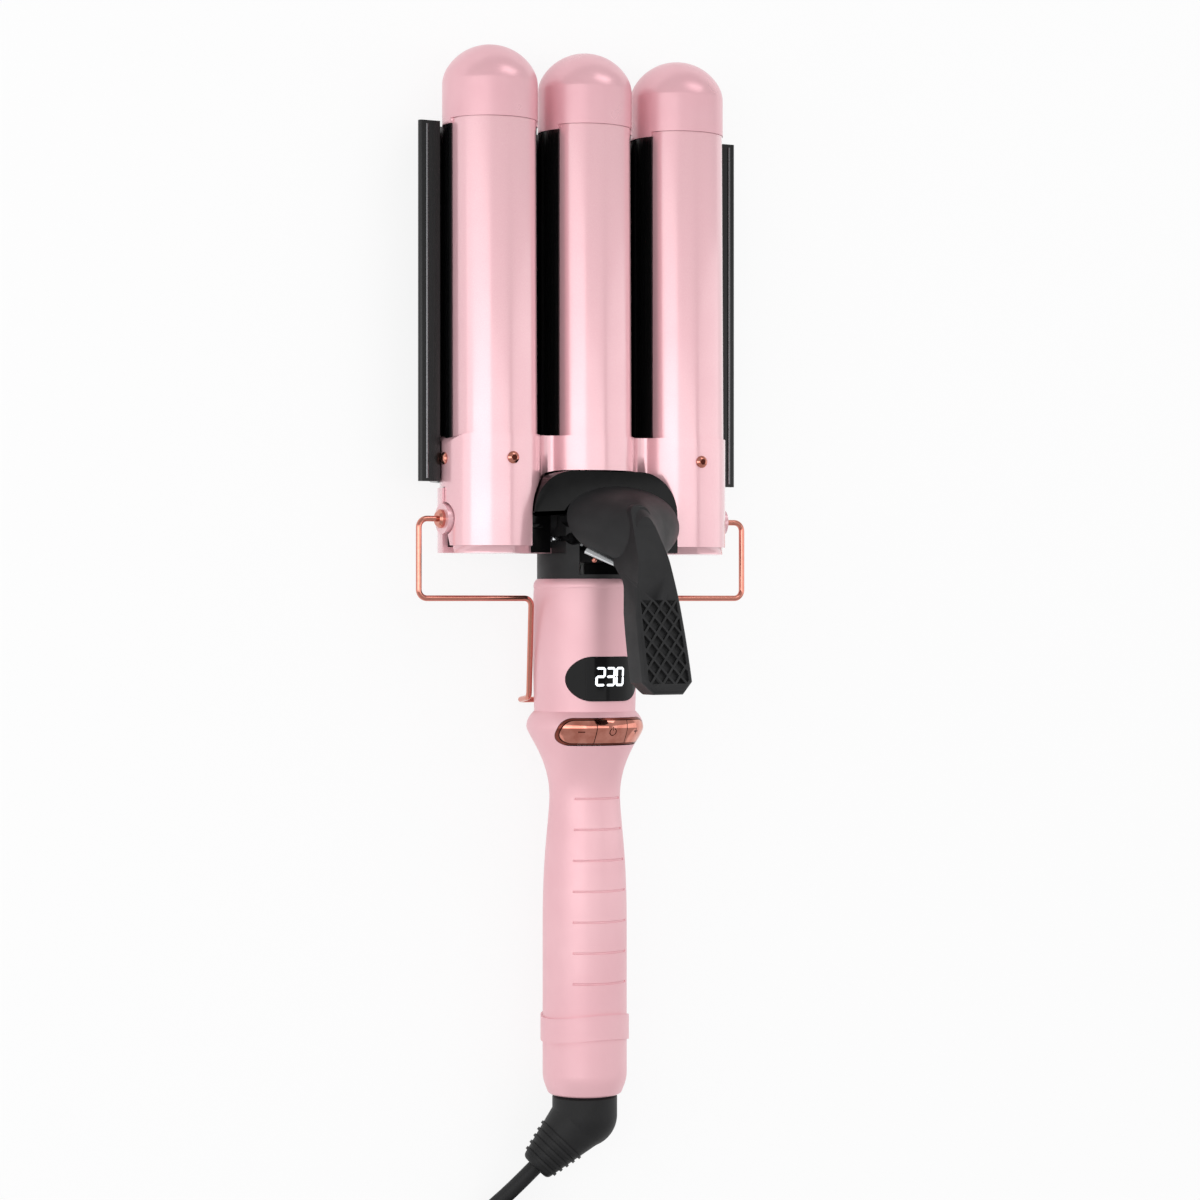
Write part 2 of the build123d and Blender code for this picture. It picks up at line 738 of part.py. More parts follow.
with BuildPart() as neck_frame:
    with BuildSketch(section(shell_foot)):
        Circle(neck_radius)
    extrude(amount=shell_foot - handle_top)
    with BuildSketch(section(handle_top)):
        Circle(handle_bore - seat_gap)
    extrude(amount=neck_spigot)
    # The tongue between the jaw's ears, sloped in front so that the hub can swing over it.
    with BuildSketch(section(tongue_top)):
        Circle(neck_radius)
        with Locations((0, (neck_radius - bracket_depth) / 2)):
            Rectangle(2 * tongue_half_width, neck_radius + bracket_depth, mode=Mode.INTERSECT)
    extrude(amount=tongue_top - shell_foot)
    with BuildSketch(Plane.YZ):
        with BuildLine():
            Polyline((tongue_top, axis_height + hub_depth - 1), (tongue_top + 1, axis_height + 2 * neck_radius),
                     (-5.4, axis_height + 2 * neck_radius), (-5.4, axis_height + neck_radius + 1),
                     (-0.9, axis_height + hub_depth - 1), close=True)
        make_face()
    extrude(amount=neck_radius, both=True, mode=Mode.SUBTRACT)
    with BuildSketch(Plane.YZ):
        with Locations((0, axis_height)):
            Circle(knuckle_radius)
        with Locations((0, axis_height - bracket_depth - knuckle_radius)):
            Rectangle(3 * knuckle_radius, 2 * knuckle_radius, mode=Mode.SUBTRACT)
    extrude(amount=tongue_half_width, both=True)
    # Bore for the leads, window for the boss, pocket for the spring, holes for pin and screws.
    with BuildSketch(section(shell_foot - 3)):
        Circle(neck_bore)
    extrude(amount=neck_spigot + neck_radius, mode=Mode.SUBTRACT)
    with BuildSketch(lead_slot):
        with Locations((0, lead_slot_z)):
            Rectangle(12, 4)
    extrude(amount=6, both=True, mode=Mode.SUBTRACT)
    with BuildSketch(Plane.XY.offset(axis_height + window_depth)):
        with Locations((0, (window_foot + 2 * knuckle_radius) / 2)):
            Rectangle(2 * window_half_width, 2 * knuckle_radius - window_foot)
    extrude(amount=2 * neck_radius, mode=Mode.SUBTRACT)
    with BuildSketch(Plane.YZ):
        with Locations((0, axis_height)):
            Circle(spring_pocket_radius)
        with Locations((-spring_pocket_radius, axis_height + spring_pocket_radius / 2)):
            Rectangle(2 * spring_pocket_radius, spring_pocket_radius)
        with Locations((-spring_pocket_radius, axis_height + window_depth)):
            Rectangle(2 * spring_pocket_radius, 2 * window_depth)
    extrude(amount=spring_pocket_half, both=True, mode=Mode.SUBTRACT)
    with BuildSketch(Plane.YZ):
        with Locations((0, axis_height)):
            Circle(pin_radius)
    extrude(amount=2 * tongue_half_width, both=True, mode=Mode.SUBTRACT)
    with BuildSketch(Plane.XY.offset(axis_height - 1)):
        with Locations((-bracket_screw_x, bracket_screw_y), (bracket_screw_x, bracket_screw_y)):
            Circle(screw_head_radius + seat_gap)
    extrude(amount=2 * neck_radius, mode=Mode.SUBTRACT)
    with BuildSketch(Plane.XY.offset(axis_height - bracket_depth)):
        with Locations((-bracket_screw_x, bracket_screw_y), (bracket_screw_x, bracket_screw_y)):
            Circle(screw_radius)
    extrude(amount=bracket_depth, mode=Mode.SUBTRACT)
save(neck_frame, "neck_frame")

with BuildPart() as bracket_screws:
    for side in (-1, 1):
        seat = (side * bracket_screw_x, bracket_screw_y, axis_height - 1)
        add(dome_screw(seat, (0, 0, 1), bracket_depth - 1 + bracket_thickness))
save(bracket_screws, "bracket_screws")

with BuildPart() as hinge_pin:
    with BuildSketch(Plane.YZ):
        with Locations((0, axis_height)):
            Circle(pin_radius)
    extrude(amount=tongue_half_width + moving_gap + hinge_ear_thickness + 1.2, both=True)
    chamfer(hinge_pin.edges().filter_by(GeomType.CIRCLE), 0.4)
save(hinge_pin, "hinge_pin")

spring_pitch = (2 * spring_half_length) / spring_turns
spring_coil = Helix(
    pitch=spring_pitch,
    height=2 * spring_half_length,
    radius=pin_radius + 0.5 + spring_wire / 2,
    center=(-spring_half_length, 0, axis_height),
    direction=(1, 0, 0),
)
spring_aim = math.degrees(math.atan2((spring_coil % 0).Z, (spring_coil % 0).Y))
spring_coil = spring_coil.rotate(hinge_axis, -62 - spring_aim)
spring_start = spring_coil @ 0 - (spring_coil % 0) * spring_leg
spring_end = spring_coil @ 1 + (spring_coil % 1) * spring_wire * 2

with BuildPart() as jaw_spring:
    with BuildLine() as spring_path:
        Line(spring_start, spring_coil @ 0)
        add(spring_coil)
        Line(spring_coil @ 1, spring_end)
    with BuildSketch(Plane(origin=spring_start, z_dir=spring_coil % 0)):
        RegularPolygon(spring_wire / 2, 8)
    sweep(path=spring_path.wire())
save(jaw_spring, "jaw_spring")


# ---- Rear shell, bracket and jaw plate ------------------------------------------------------------------

shell_height = shell_top - shell_foot
bracket_front = axis_height - bracket_depth
bracket_back = bracket_front - bracket_thickness

with BuildPart() as rear_shell:
    with BuildSketch(section(shell_top)):
        add(lobed_outline(trough_radius))
    extrude(amount=shell_height)
    with BuildSketch(section(shell_top)):
        with Locations(*lobes):
            Circle(trough_radius - shell_wall)
        Rectangle(2 * barrel_pitch, 2 * shell_web)
    extrude(amount=shell_height - shell_wall, mode=Mode.SUBTRACT)
    with BuildSketch(Plane.XY.offset(axis_height)):
        Rectangle(wide, wide)
    extrude(amount=wide, mode=Mode.SUBTRACT)
    # Bosses for the stand's bushes.
    for side in (-1, 1):
        with BuildSketch(Plane.YZ.offset(side * bracket_half_length)):
            with Locations((0, axis_height)):
                Circle(ear_boss_radius)
        extrude(amount=side * (bush_seat - bracket_half_length))
        with BuildSketch(Plane.YZ.offset(side * bracket_half_length)):
            with Locations((0, axis_height)):
                Circle(bush_radius)
        extrude(amount=side * (bush_seat - bracket_half_length), mode=Mode.SUBTRACT)
    # Openings for the neck's tongue, the leads and the screws.
    with BuildSketch(section(shell_foot + shell_wall)):
        with Locations((0, -bracket_depth / 2)):
            Rectangle(2 * (tongue_half_width + seat_gap), bracket_depth)
    extrude(amount=shell_wall, mode=Mode.SUBTRACT)
    with BuildSketch(lead_slot):
        with Locations((0, lead_slot_z)):
            Rectangle(12, 4)
    extrude(amount=3, both=True, mode=Mode.SUBTRACT)
    with BuildSketch(Plane.XY):
        with Locations(*tongue_screws):
            Circle(screw_radius)
    extrude(amount=axis_height, mode=Mode.SUBTRACT)
save(rear_shell, "rear_shell")

with BuildPart() as rear_bracket:
    with BuildSketch(Plane.XY.offset(bracket_back)):
        with Locations((0, (bracket_top + bracket_foot) / 2)):
            Rectangle(2 * bracket_half_length, bracket_top - bracket_foot)
    extrude(amount=bracket_thickness)
    for side in (-1, 1):
        with BuildSketch(Plane.YZ.offset(side * (bracket_half_length - bracket_thickness))):
            with Locations((0, axis_height)):
                Circle(hinge_ear_radius)
            with Locations((0, axis_height - bracket_depth / 2)):
                Rectangle(2 * hinge_ear_radius, bracket_depth)
            with Locations((0, axis_height)):
                Circle(bush_radius, mode=Mode.SUBTRACT)
        extrude(amount=side * bracket_thickness)
    # Posts on the back reach the shell's floor behind the tongue of the jaw plate.
    with BuildSketch(Plane.XY.offset(bracket_back)):
        with Locations(*tongue_screws):
            Circle(2.4 * screw_radius)
    extrude(amount=-(trough_radius - shell_wall - bracket_depth - bracket_thickness - 0.3))
    with BuildSketch(Plane.XY):
        with Locations(*tongue_screws, (-bracket_screw_x, bracket_screw_y), (bracket_screw_x, bracket_screw_y)):
            Circle(screw_radius)
    extrude(amount=bracket_front, mode=Mode.SUBTRACT)
    # The floor's corners are rounded off inside the shell's outer lobes.
    with BuildSketch(section(bracket_top)):
        with Locations(*lobes):
            Circle(trough_radius - shell_wall - seat_gap)
        Rectangle(2 * barrel_pitch, 2 * shell_web)
    extrude(amount=bracket_top - bracket_foot, mode=Mode.INTERSECT)
save(rear_bracket, "rear_bracket")

plate_outside = trough_radius + plate_thickness

with BuildPart() as rear_plate:
    with BuildSketch(section(plate_top)) as profile:
        with Locations(*lobes):
            Circle(plate_outside)
        with Locations((0, -wing_depth - plate_thickness / 2)):
            Rectangle(2 * wing_reach, plate_thickness)
        with Locations(*lobes):
            Circle(trough_radius, mode=Mode.SUBTRACT)
        with Locations((0, wide / 2 - ridge_depth)):
            Rectangle(2 * barrel_pitch, wide, mode=Mode.SUBTRACT)
        with Locations((0, wide / 2 - wing_depth)):
            Rectangle(2 * wide, wide, mode=Mode.SUBTRACT)
        with Locations((0, -wide / 2 - axis_height)):
            Rectangle(2 * wide, wide, mode=Mode.SUBTRACT)
        fillet([v for v in profile.vertices() if abs(v.Y + ridge_depth) < 0.01], ridge_round)
        fillet([v for v in profile.vertices() if abs(abs(v.X) - wing_reach) < 0.01], 0.4 * plate_thickness)
    extrude(amount=plate_length)
    with BuildSketch(section(plate_foot)):
        Circle(plate_outside)
        Circle(trough_radius, mode=Mode.SUBTRACT)
        with Locations((0, -axis_height / 2)):
            Rectangle(tongue_width, axis_height, mode=Mode.INTERSECT)
    extrude(amount=tongue_length)
    # Countersunk from the back.
    with Locations(*[Location((x, y, 0), (180, 0, 0)) for x, y in tongue_screws]):
        CounterSinkHole(screw_radius, screw_head_radius + seat_gap, plate_thickness + 1, 90)
save(rear_plate, "rear_plate")

with BuildPart() as plate_screws:
    for x, y in tongue_screws:
        with BuildSketch(Plane(origin=(x, y, 0), x_dir=(1, 0, 0), z_dir=(0, -1, 0))):
            with BuildLine():
                sink = screw_head_radius - screw_radius + seat_gap
                Polyline((0, seat_gap), (screw_head_radius, seat_gap), (screw_radius, sink),
                         (screw_radius, bracket_front), (0, bracket_front), close=True)
            make_face()
        revolve(axis=Axis((x, y, 0), (0, 0, 1)))
save(plate_screws, "plate_screws")


# ---- Stand ------------------------------------------------------------------------------------------------

with BuildPart() as stand_bushes:
    for side in (-1, 1):
        with BuildSketch(Plane(origin=(0, 0, axis_height), x_dir=(1, 0, 0), z_dir=(0, -1, 0))):
            with BuildLine():
                wire = stand_wire / 2 + running_gap
                inner_end = side * (bracket_half_length - bracket_thickness - 1)
                seat = side * bush_seat
                head = side * (bush_seat + bush_head)
                Polyline((inner_end, wire), (inner_end, bush_radius), (seat, bush_radius),
                         (seat, bush_head_radius), (head - side * 0.8, bush_head_radius),
                         (head, bush_head_radius - 0.8), (head, wire), close=True)
            make_face()
        revolve(axis=hinge_axis)
save(stand_bushes, "stand_bushes")

tip_depth = math.sqrt((shoulder_radius + stand_wire / 2 + moving_gap) ** 2 - stand_tip_leg**2)
stand_half = [
    (bracket_half_length - bracket_thickness, 0, axis_height),
    (stand_reach, 0, axis_height),
    (stand_reach, -stand_drop, axis_height),
    (stand_leg, -stand_drop, axis_height),
    (stand_tip_leg, 1.2 - stand_length, axis_height - tip_depth),
    (stand_tip_leg - 1.6, -stand_length, axis_height - stand_back),
]
stand_points = stand_half + [(-x, y, z) for x, y, z in reversed(stand_half)]

with BuildPart() as stand:
    with BuildLine() as bail:
        FilletPolyline(*stand_points, radius=stand_bend)
    with BuildSketch(Plane(origin=bail.line @ 0, z_dir=bail.line % 0)):
        Circle(stand_wire / 2)
    sweep(path=bail.wire())
save(stand, "stand")


# ---- Handle -------------------------------------------------------------------------------------------------


def bulge_curve(extra):
    """The outside of the bulge and the taper behind it, moved out by extra."""
    crest, waist = bulge_radius + extra, waist_radius + extra
    Bezier(
        (bulge_foot_radius + extra, bulge_top),
        (crest - 1.1, bulge_top - 1.6),
        (crest, bulge_crest + 2.1),
        (crest, bulge_crest),
    )
    Bezier((crest, bulge_crest), (crest, bulge_crest - 3), (waist, waist_y + 13.1), (waist, waist_y))


def skin_radius(y):
    """The radius of the grip's skin at y."""
    near, away = 0.0, 1.0
    for _ in range(20):
        middle = (near + away) / 2
        if (grip_line @ middle).Y > y:
            near = middle
        else:
            away = middle
    return (grip_line @ away).X


grip_pull = (waist_y - grip_start) * 0.2
grip_line = Bezier(
    (waist_radius, waist_y),
    (waist_radius, waist_y - grip_pull),
    (grip_radius, waist_y - 2 * grip_pull),
    (grip_radius, grip_start),
)

with BuildPart() as handle_shell:
    with BuildSketch(Plane.XY.offset(axis_height)):
        with BuildLine():
            ThreePointArc((neck_radius, handle_top), (shoulder_radius - 0.75, handle_top - 0.8),
                          (shoulder_radius - 0.4, handle_top - 3.3))
            Bezier((shoulder_radius - 0.4, handle_top - 3.3), (shoulder_radius + 0.2, handle_top - 10),
                   (shoulder_radius + 0.2, handle_top - 25), (bulge_foot_radius, bulge_top))
            bulge_curve(0)
            add(grip_line)
            Polyline((grip_radius, grip_start), (grip_radius, ring_middle), (grip_bore, ring_middle),
                     (grip_bore, grip_start + 10), (waist_radius - 0.8, waist_y - 17),
                     (waist_radius - handle_wall, waist_y), (waist_radius, waist_y + 11),
                     (waist_radius + 2.3, waist_y + 17), (bulge_radius - 2.7, bulge_crest - 2),
                     (bulge_radius - 2.7, bulge_crest + 1.5), (handle_bore, bulge_top + 2),
                     (handle_bore, handle_top), (neck_radius, handle_top))
        make_face()
    revolve(axis=tool_axis())
    with BuildSketch(Plane.XY.offset(axis_height)):
        with Locations((0, lens_middle)):
            SlotOverall(lens_width + 2 * seat_gap, lens_height + 2 * seat_gap)
        with Locations((0, button_middle)):
            around = 2 * (bezel_gap + bezel_wall + seat_gap)
            SlotOverall(button_bar_width + around, button_bar_height + around)
    extrude(amount=2 * bulge_radius, mode=Mode.SUBTRACT)
    # Finger grooves across the front of the grip.
    for i in range(groove_count):
        y = groove_first - i * groove_spacing
        with BuildSketch(radial_plane(-groove_sweep)):
            with Locations((skin_radius(y), y)):
                Circle(groove_radius)
        revolve(axis=tool_axis(), revolution_arc=2 * groove_sweep, mode=Mode.SUBTRACT)
save(handle_shell, "handle_shell")

with BuildPart() as trim_ring:
    with BuildSketch(section(ring_top + ring_wave)):
        Circle(ring_radius)
        Circle(grip_radius, mode=Mode.SUBTRACT)
    extrude(amount=ring_width + 2 * ring_wave)
    # Both edges rise at the front and the back of the grip and dip at its sides.
    with BuildSketch(Plane.YZ):
        with BuildLine():
            low, high = axis_height - ring_radius - 1, axis_height + ring_radius + 1
            crest, base = ring_top + ring_wave, ring_top + ring_wave - ring_width
            ThreePointArc((crest, low), (crest - 2 * ring_wave, axis_height), (crest, high))
            Line((crest, high), (base, high))
            ThreePointArc((base, high), (base - 2 * ring_wave, axis_height), (base, low))
            Line((base, low), (crest, low))
        make_face()
    extrude(amount=2 * ring_radius, both=True, mode=Mode.INTERSECT)
save(trim_ring, "trim_ring")

with BuildPart() as end_cap:
    with BuildSketch(Plane.XY.offset(axis_height)):
        with BuildLine():
            hole = boot_neck_radius + running_gap
            floor = handle_foot + end_cap_floor
            Polyline((grip_bore, ring_middle), (grip_radius, ring_middle), (grip_radius, end_cap_shoulder))
            Spline((grip_radius, end_cap_shoulder), (grip_radius - 1.85, handle_foot + 0.5),
                   tangents=((0, -1), (-0.4, -1)))
            Polyline((grip_radius - 1.85, handle_foot + 0.5), (grip_radius - 2.6, handle_foot),
                     (hole, handle_foot), (hole, floor), (grip_bore, floor), (grip_bore, ring_middle))
        make_face()
    revolve(axis=tool_axis())
    with BuildSketch(section(ring_middle + 8)):
        Circle(grip_bore)
        Circle(spigot_bore, mode=Mode.SUBTRACT)
    extrude(amount=13)
save(end_cap, "end_cap")


# ---- Display and buttons -------------------------------------------------------------------------------------

with BuildPart() as display_lens:
    with BuildSketch(Plane.XY.offset(axis_height)):
        with Locations((0, lens_middle)):
            SlotOverall(lens_width, lens_height)
    extrude(amount=2 * bulge_radius)
    with BuildSketch(section(lens_middle + lens_height)):
        Circle(shoulder_radius + lens_proud - 0.15)
        Circle(handle_bore + 0.3, mode=Mode.SUBTRACT)
    extrude(amount=2 * lens_height, mode=Mode.INTERSECT)
save(display_lens, "display_lens")

with BuildPart() as display_module:
    with BuildSketch(Plane.XY.offset(board_face)):
        with Locations((0, lens_middle)):
            Rectangle(15, 12)
    extrude(amount=display_module_height)
    chamfer(display_module.faces().sort_by(Axis.Z)[-1].edges(), 0.3)
save(display_module, "display_module")

with BuildPart() as display_board:
    with BuildSketch(Plane.XY.offset(board_back)):
        with Locations((0, display_board_middle)):
            RectangleRounded(display_board_width, display_board_length, 1.5)
    extrude(amount=board_thickness)
save(display_board, "display_board")

with BuildPart() as tact_switches:
    with BuildSketch(Plane.XY.offset(board_face)):
        with Locations((0, button_middle)):
            with GridLocations(switch_spacing, 0, 3, 1):
                Rectangle(switch_size, switch_size)
    extrude(amount=switch_height - 1)
    with BuildSketch(Plane.XY.offset(board_face)):
        with Locations((0, button_middle)):
            with GridLocations(switch_spacing, 0, 3, 1):
                Circle(switch_size / 4)
    extrude(amount=switch_height)
save(tact_switches, "tact_switches")


def over_bulge(inner_radius, extra):
    """A ring round the tool that follows the bulge, from inner_radius out to its skin plus extra."""
    with BuildPart() as ring:
        with BuildSketch(Plane.XY.offset(axis_height)):
            with BuildLine():
                bulge_curve(extra)
                Polyline((waist_radius + extra, waist_y), (0, waist_y), (0, bulge_top),
                         (bulge_foot_radius + extra, bulge_top))
            make_face()
        revolve(axis=tool_axis())
        with BuildSketch(section(bulge_top)):
            Circle(inner_radius)
        extrude(amount=bulge_top - waist_y, mode=Mode.SUBTRACT)
    return ring.part


bar_half = button_bar_width / 2
bar_skin = over_bulge(bulge_radius - button_thickness, button_proud)


def button(name, middle, left, right):
    """One key of the curved bar, with a stem over its switch."""
    stem_foot = board_face + switch_height + button_travel + 0.1
    with BuildPart() as piece:
        with BuildSketch(Plane.XY.offset(axis_height)):
            with Locations((0, button_middle)):
                SlotOverall(button_bar_width, button_bar_height)
            with Locations(((left + right) / 2, button_middle)):
                Rectangle(right - left, 2 * button_bar_height, mode=Mode.INTERSECT)
        extrude(amount=2 * bulge_radius)
        add(bar_skin, mode=Mode.INTERSECT)
        with BuildSketch(Plane.XY.offset(stem_foot)):
            with Locations((middle, button_middle)):
                Circle(1.5)
        extrude(until=Until.NEXT)
    save(piece, name)


button("button_minus", -switch_spacing, -bar_half - 1, -button_split - button_seam / 2)
button("button_power", 0, -button_split + button_seam / 2, button_split - button_seam / 2)
button("button_plus", switch_spacing, button_split + button_seam / 2, bar_half + 1)

with BuildPart() as button_frame:
    with BuildSketch(Plane.XY.offset(axis_height)):
        with Locations((0, button_middle)):
            frame_inside = 2 * bezel_gap
            frame_outside = 2 * (bezel_gap + bezel_wall)
            SlotOverall(button_bar_width + frame_outside, button_bar_height + frame_outside)
            SlotOverall(button_bar_width + frame_inside, button_bar_height + frame_inside, mode=Mode.SUBTRACT)
    extrude(amount=2 * bulge_radius)
    add(over_bulge(bulge_radius - button_thickness, 0.1), mode=Mode.INTERSECT)
save(button_frame, "button_frame")


# ---- Chassis, power board and leads -----------------------------------------------------------------------------

chassis_top = handle_top - neck_spigot - 1
chassis_foot = bulge_top + 4

with BuildPart() as chassis:
    with BuildSketch(section(chassis_top)):
        Circle(chassis_radius)
        Circle(chassis_radius - chassis_wall, mode=Mode.SUBTRACT)
        with Locations((0, -spine_thickness / 2)):
            Rectangle(2 * chassis_radius - chassis_wall, spine_thickness)
        with Locations((0, -chassis_radius / 2)):
            Rectangle(3 * chassis_radius, chassis_radius, mode=Mode.INTERSECT)
    extrude(amount=chassis_top - chassis_foot)
    with BuildSketch(section(chassis_foot)):
        with Locations((0, -spine_thickness / 2)):
            Rectangle(spine_width, spine_thickness)
    extrude(amount=chassis_foot - spine_foot)
    # Posts for the display board.
    with BuildSketch(Plane.XY.offset(axis_height - 1)):
        with Locations(*[(x, y) for x in (-display_post_x, display_post_x) for y in display_post_ys]):
            Circle(display_post_radius)
    extrude(amount=display_board_height + 1)
save(chassis, "chassis")

with BuildPart() as power_board:
    with BuildSketch(Plane.XY.offset(axis_height)):
        with Locations((0, (power_board_top + power_board_foot) / 2)):
            RectangleRounded(power_board_width, power_board_top - power_board_foot, 1.5)
    extrude(amount=board_thickness)
save(power_board, "power_board")

with BuildPart() as board_parts:
    with BuildSketch(Plane.XY.offset(axis_height + board_thickness)):
        with Locations((0, relay_middle)):
            Rectangle(10, 14)
    extrude(amount=5)
    with BuildSketch(Plane.XY.offset(axis_height + board_thickness)):
        with Locations((0, capacitor_middle)):
            Circle(4)
    extrude(amount=7)
    with BuildSketch(Plane.XY.offset(axis_height + board_thickness)):
        with Locations((-3, terminal_middle), (3, terminal_middle)):
            Rectangle(4, 9)
    extrude(amount=5)
save(board_parts, "board_parts")

with BuildPart() as heater_leads:
    for x in (-4, -2, 0, 2, 4):
        with BuildLine() as lead:
            FilletPolyline((x, power_board_top - 3, axis_height + 3.4), (x, -30, axis_height + 3.4),
                           (x, -20, lead_slot_z), (x, -9.8, lead_slot_z), radius=4)
        with BuildSketch(Plane(origin=lead.line @ 0, z_dir=lead.line % 0)):
            RegularPolygon(lead_radius * 0.9, 8)
        sweep(path=lead.wire())
save(heater_leads, "heater_leads")


# ---- Cord, its boot and its plug ----------------------------------------------------------------------------------

arm = Vector(*boot_direction).normalized()
pivot = Vector(0, boot_pivot, axis_height)
exit_point = pivot + arm * boot_arm
coil_inner = coil_radius - coil_columns * cord_radius
coil_outer = coil_radius + coil_columns * cord_radius
coil_height = coil_layers * cord_diameter
coil_last_turn = coil_outer - cord_radius

# The cord leaves the boot, sinks to the table and meets the coil's outer turn as a tangent.
level = Vector(arm.X, arm.Y, 0).normalized()
cord_level = cord_radius + seat_gap
cord_points = [
    Vector(0, cord_start, axis_height),
    pivot,
    exit_point + arm * cord_droop,
    Vector(exit_point.X, exit_point.Y, cord_level) + level * cord_landing,
    Vector(exit_point.X, exit_point.Y, cord_level) + level * cord_joins,
]


coil_centre = cord_points[-1] + Vector(-level.Y, level.X, 0) * coil_last_turn
coil_middle = (coil_centre.X, coil_centre.Y)


def bend_radii(points):
    """A radius for each bend: the arcs take up to 0.45 of the shorter run beside it."""
    radii = []
    for before, at, after in zip(points, points[1:], points[2:]):
        half_turn = math.radians((at - before).get_angle(after - at)) / 2
        run = min((at - before).length, (after - at).length)
        radii.append(0.45 * run / math.tan(half_turn))
    return radii


cord_bends = bend_radii(cord_points)
cord_bends[0] = min(cord_bends[0], 7 * cord_diameter)

with BuildPart() as cord_tube:
    with BuildLine() as cord_path:
        FilletPolyline(*cord_points, radius=cord_bends)
    with BuildSketch(Plane(origin=cord_path.line @ 0, z_dir=cord_path.line % 0)):
        Circle(cord_radius)
    sweep(path=cord_path.wire())
save(cord_tube, "cord_tube")
print("cord bends", [round(r, 1) for r in cord_bends], "length", round(cord_path.wire().length, 1))

with BuildPart() as cord_boot:
    with BuildSketch(Plane.XY.offset(axis_height)):
        with BuildLine():
            under = boot_flange_top - boot_flange
            collar = handle_foot - moving_gap
            Polyline((0, boot_flange_top), (boot_flange_radius, boot_flange_top), (boot_flange_radius, under),
                     (boot_neck_radius, under), (boot_neck_radius, collar), (boot_radius - 0.8, collar),
                     (boot_radius, collar - 0.8), (boot_radius, boot_pivot))
            RadiusArc((boot_radius, boot_pivot), (0, boot_pivot - boot_radius), boot_radius)
            Line((0, boot_pivot - boot_radius), (0, boot_flange_top))
        make_face()
    revolve(axis=tool_axis())
    arm_side = Plane(origin=pivot, x_dir=arm.cross(Vector(0, 0, 1)).normalized(), z_dir=arm)
    arm_plane = Plane(origin=pivot, x_dir=arm_side.x_dir, z_dir=-arm_side.y_dir)
    with BuildSketch(arm_plane):
        with BuildLine():
            taper = (boot_radius - boot_tip_radius) / boot_arm
            Polyline((0, 0), (boot_radius, 0), (boot_tip_radius + 1.5 * taper, boot_arm - 1.5))
            ThreePointArc((boot_tip_radius + 1.5 * taper, boot_arm - 1.5),
                          (boot_tip_radius - 0.35, boot_arm - 0.4), (boot_tip_radius - 1.4, boot_arm))
            Polyline((boot_tip_radius - 1.4, boot_arm), (0, boot_arm), (0, 0))
        make_face()
        for i in range(boot_ribs):
            along = boot_arm - 3 - i * boot_rib_pitch
            outside = boot_radius - taper * along + boot_rib_height
            with Locations((outside / 2, along)):
                Rectangle(outside, boot_rib_pitch * 0.4)
    revolve(axis=Axis(pivot, arm))
    with BuildSketch(section(under)):
        Circle(2 * boot_radius)
        Circle(boot_neck_radius, mode=Mode.SUBTRACT)
    extrude(amount=under - collar, mode=Mode.SUBTRACT)
    with BuildLine() as bore_path:
        FilletPolyline(*cord_points[:3], radius=cord_bends[0])
    with BuildSketch(Plane(origin=bore_path.line @ 0, z_dir=bore_path.line % 0)):
        Circle(cord_radius + seat_gap)
    sweep(path=bore_path.wire(), mode=Mode.SUBTRACT)
save(cord_boot, "cord_boot")

with BuildPart() as cord_clamp:
    with BuildSketch(section(clamp_top)):
        Circle(spigot_bore)
        Circle(cord_radius, mode=Mode.SUBTRACT)
        with Locations((0, spigot_bore)):
            Rectangle(7, spigot_bore, mode=Mode.SUBTRACT)
    extrude(amount=clamp_thickness)
save(cord_clamp, "cord_clamp")

with BuildPart() as swivel_retainer:
    with BuildSketch(section(boot_flange_top + moving_gap + 2)):
        Circle(grip_bore)
        Circle(cord_radius + 2, mode=Mode.SUBTRACT)
    extrude(amount=2)
save(swivel_retainer, "swivel_retainer")

coil_place = Plane.XZ.offset(-coil_middle[1])
coil_axis = Axis((coil_middle[0], coil_middle[1], 0), (0, 0, 1))
tie_sweep = math.degrees(tie_width / coil_radius)


def coil_section(inset):
    """The coil's bevelled section on its +X side, drawn in by an inset on every face."""
    with BuildSketch() as outline:
        with Locations((coil_middle[0] + coil_radius, coil_height / 2)):
            Rectangle(coil_outer - coil_inner - 2 * inset, coil_height - 2 * inset)
        chamfer(outline.vertices(), 0.6 * cord_radius)
    return outline.sketch


with BuildPart() as cord_coil:
    with BuildSketch(coil_place):
        add(coil_section(0))
    revolve(axis=coil_axis, revolution_arc=360 - tie_sweep)
    with BuildSketch(coil_place):
        add(coil_section(tie_thickness))
    revolve(axis=coil_axis, revolution_arc=-tie_sweep)
save(cord_coil, "cord_coil")

with BuildPart() as coil_tie:
    with BuildSketch(coil_place):
        add(coil_section(0))
        add(coil_section(tie_thickness), mode=Mode.SUBTRACT)
    revolve(axis=coil_axis, revolution_arc=-tie_sweep)
save(coil_tie, "coil_tie")

# The other end leaves the coil's last turn along +X and rises to the middle of the plug.
tail_y = coil_middle[1] - coil_last_turn
tail_points = [
    Vector(coil_middle[0] + 2, tail_y, cord_level),
    Vector(coil_middle[0] + 2 + tail_run, tail_y, cord_level),
    Vector(coil_middle[0] + 2 + 2 * tail_run, tail_y, plug_thickness / 2),
    Vector(coil_middle[0] + 2 + 3 * tail_run, tail_y, plug_thickness / 2),
]
relief_start = tail_points[-1].X
body_start = relief_start + plug_relief

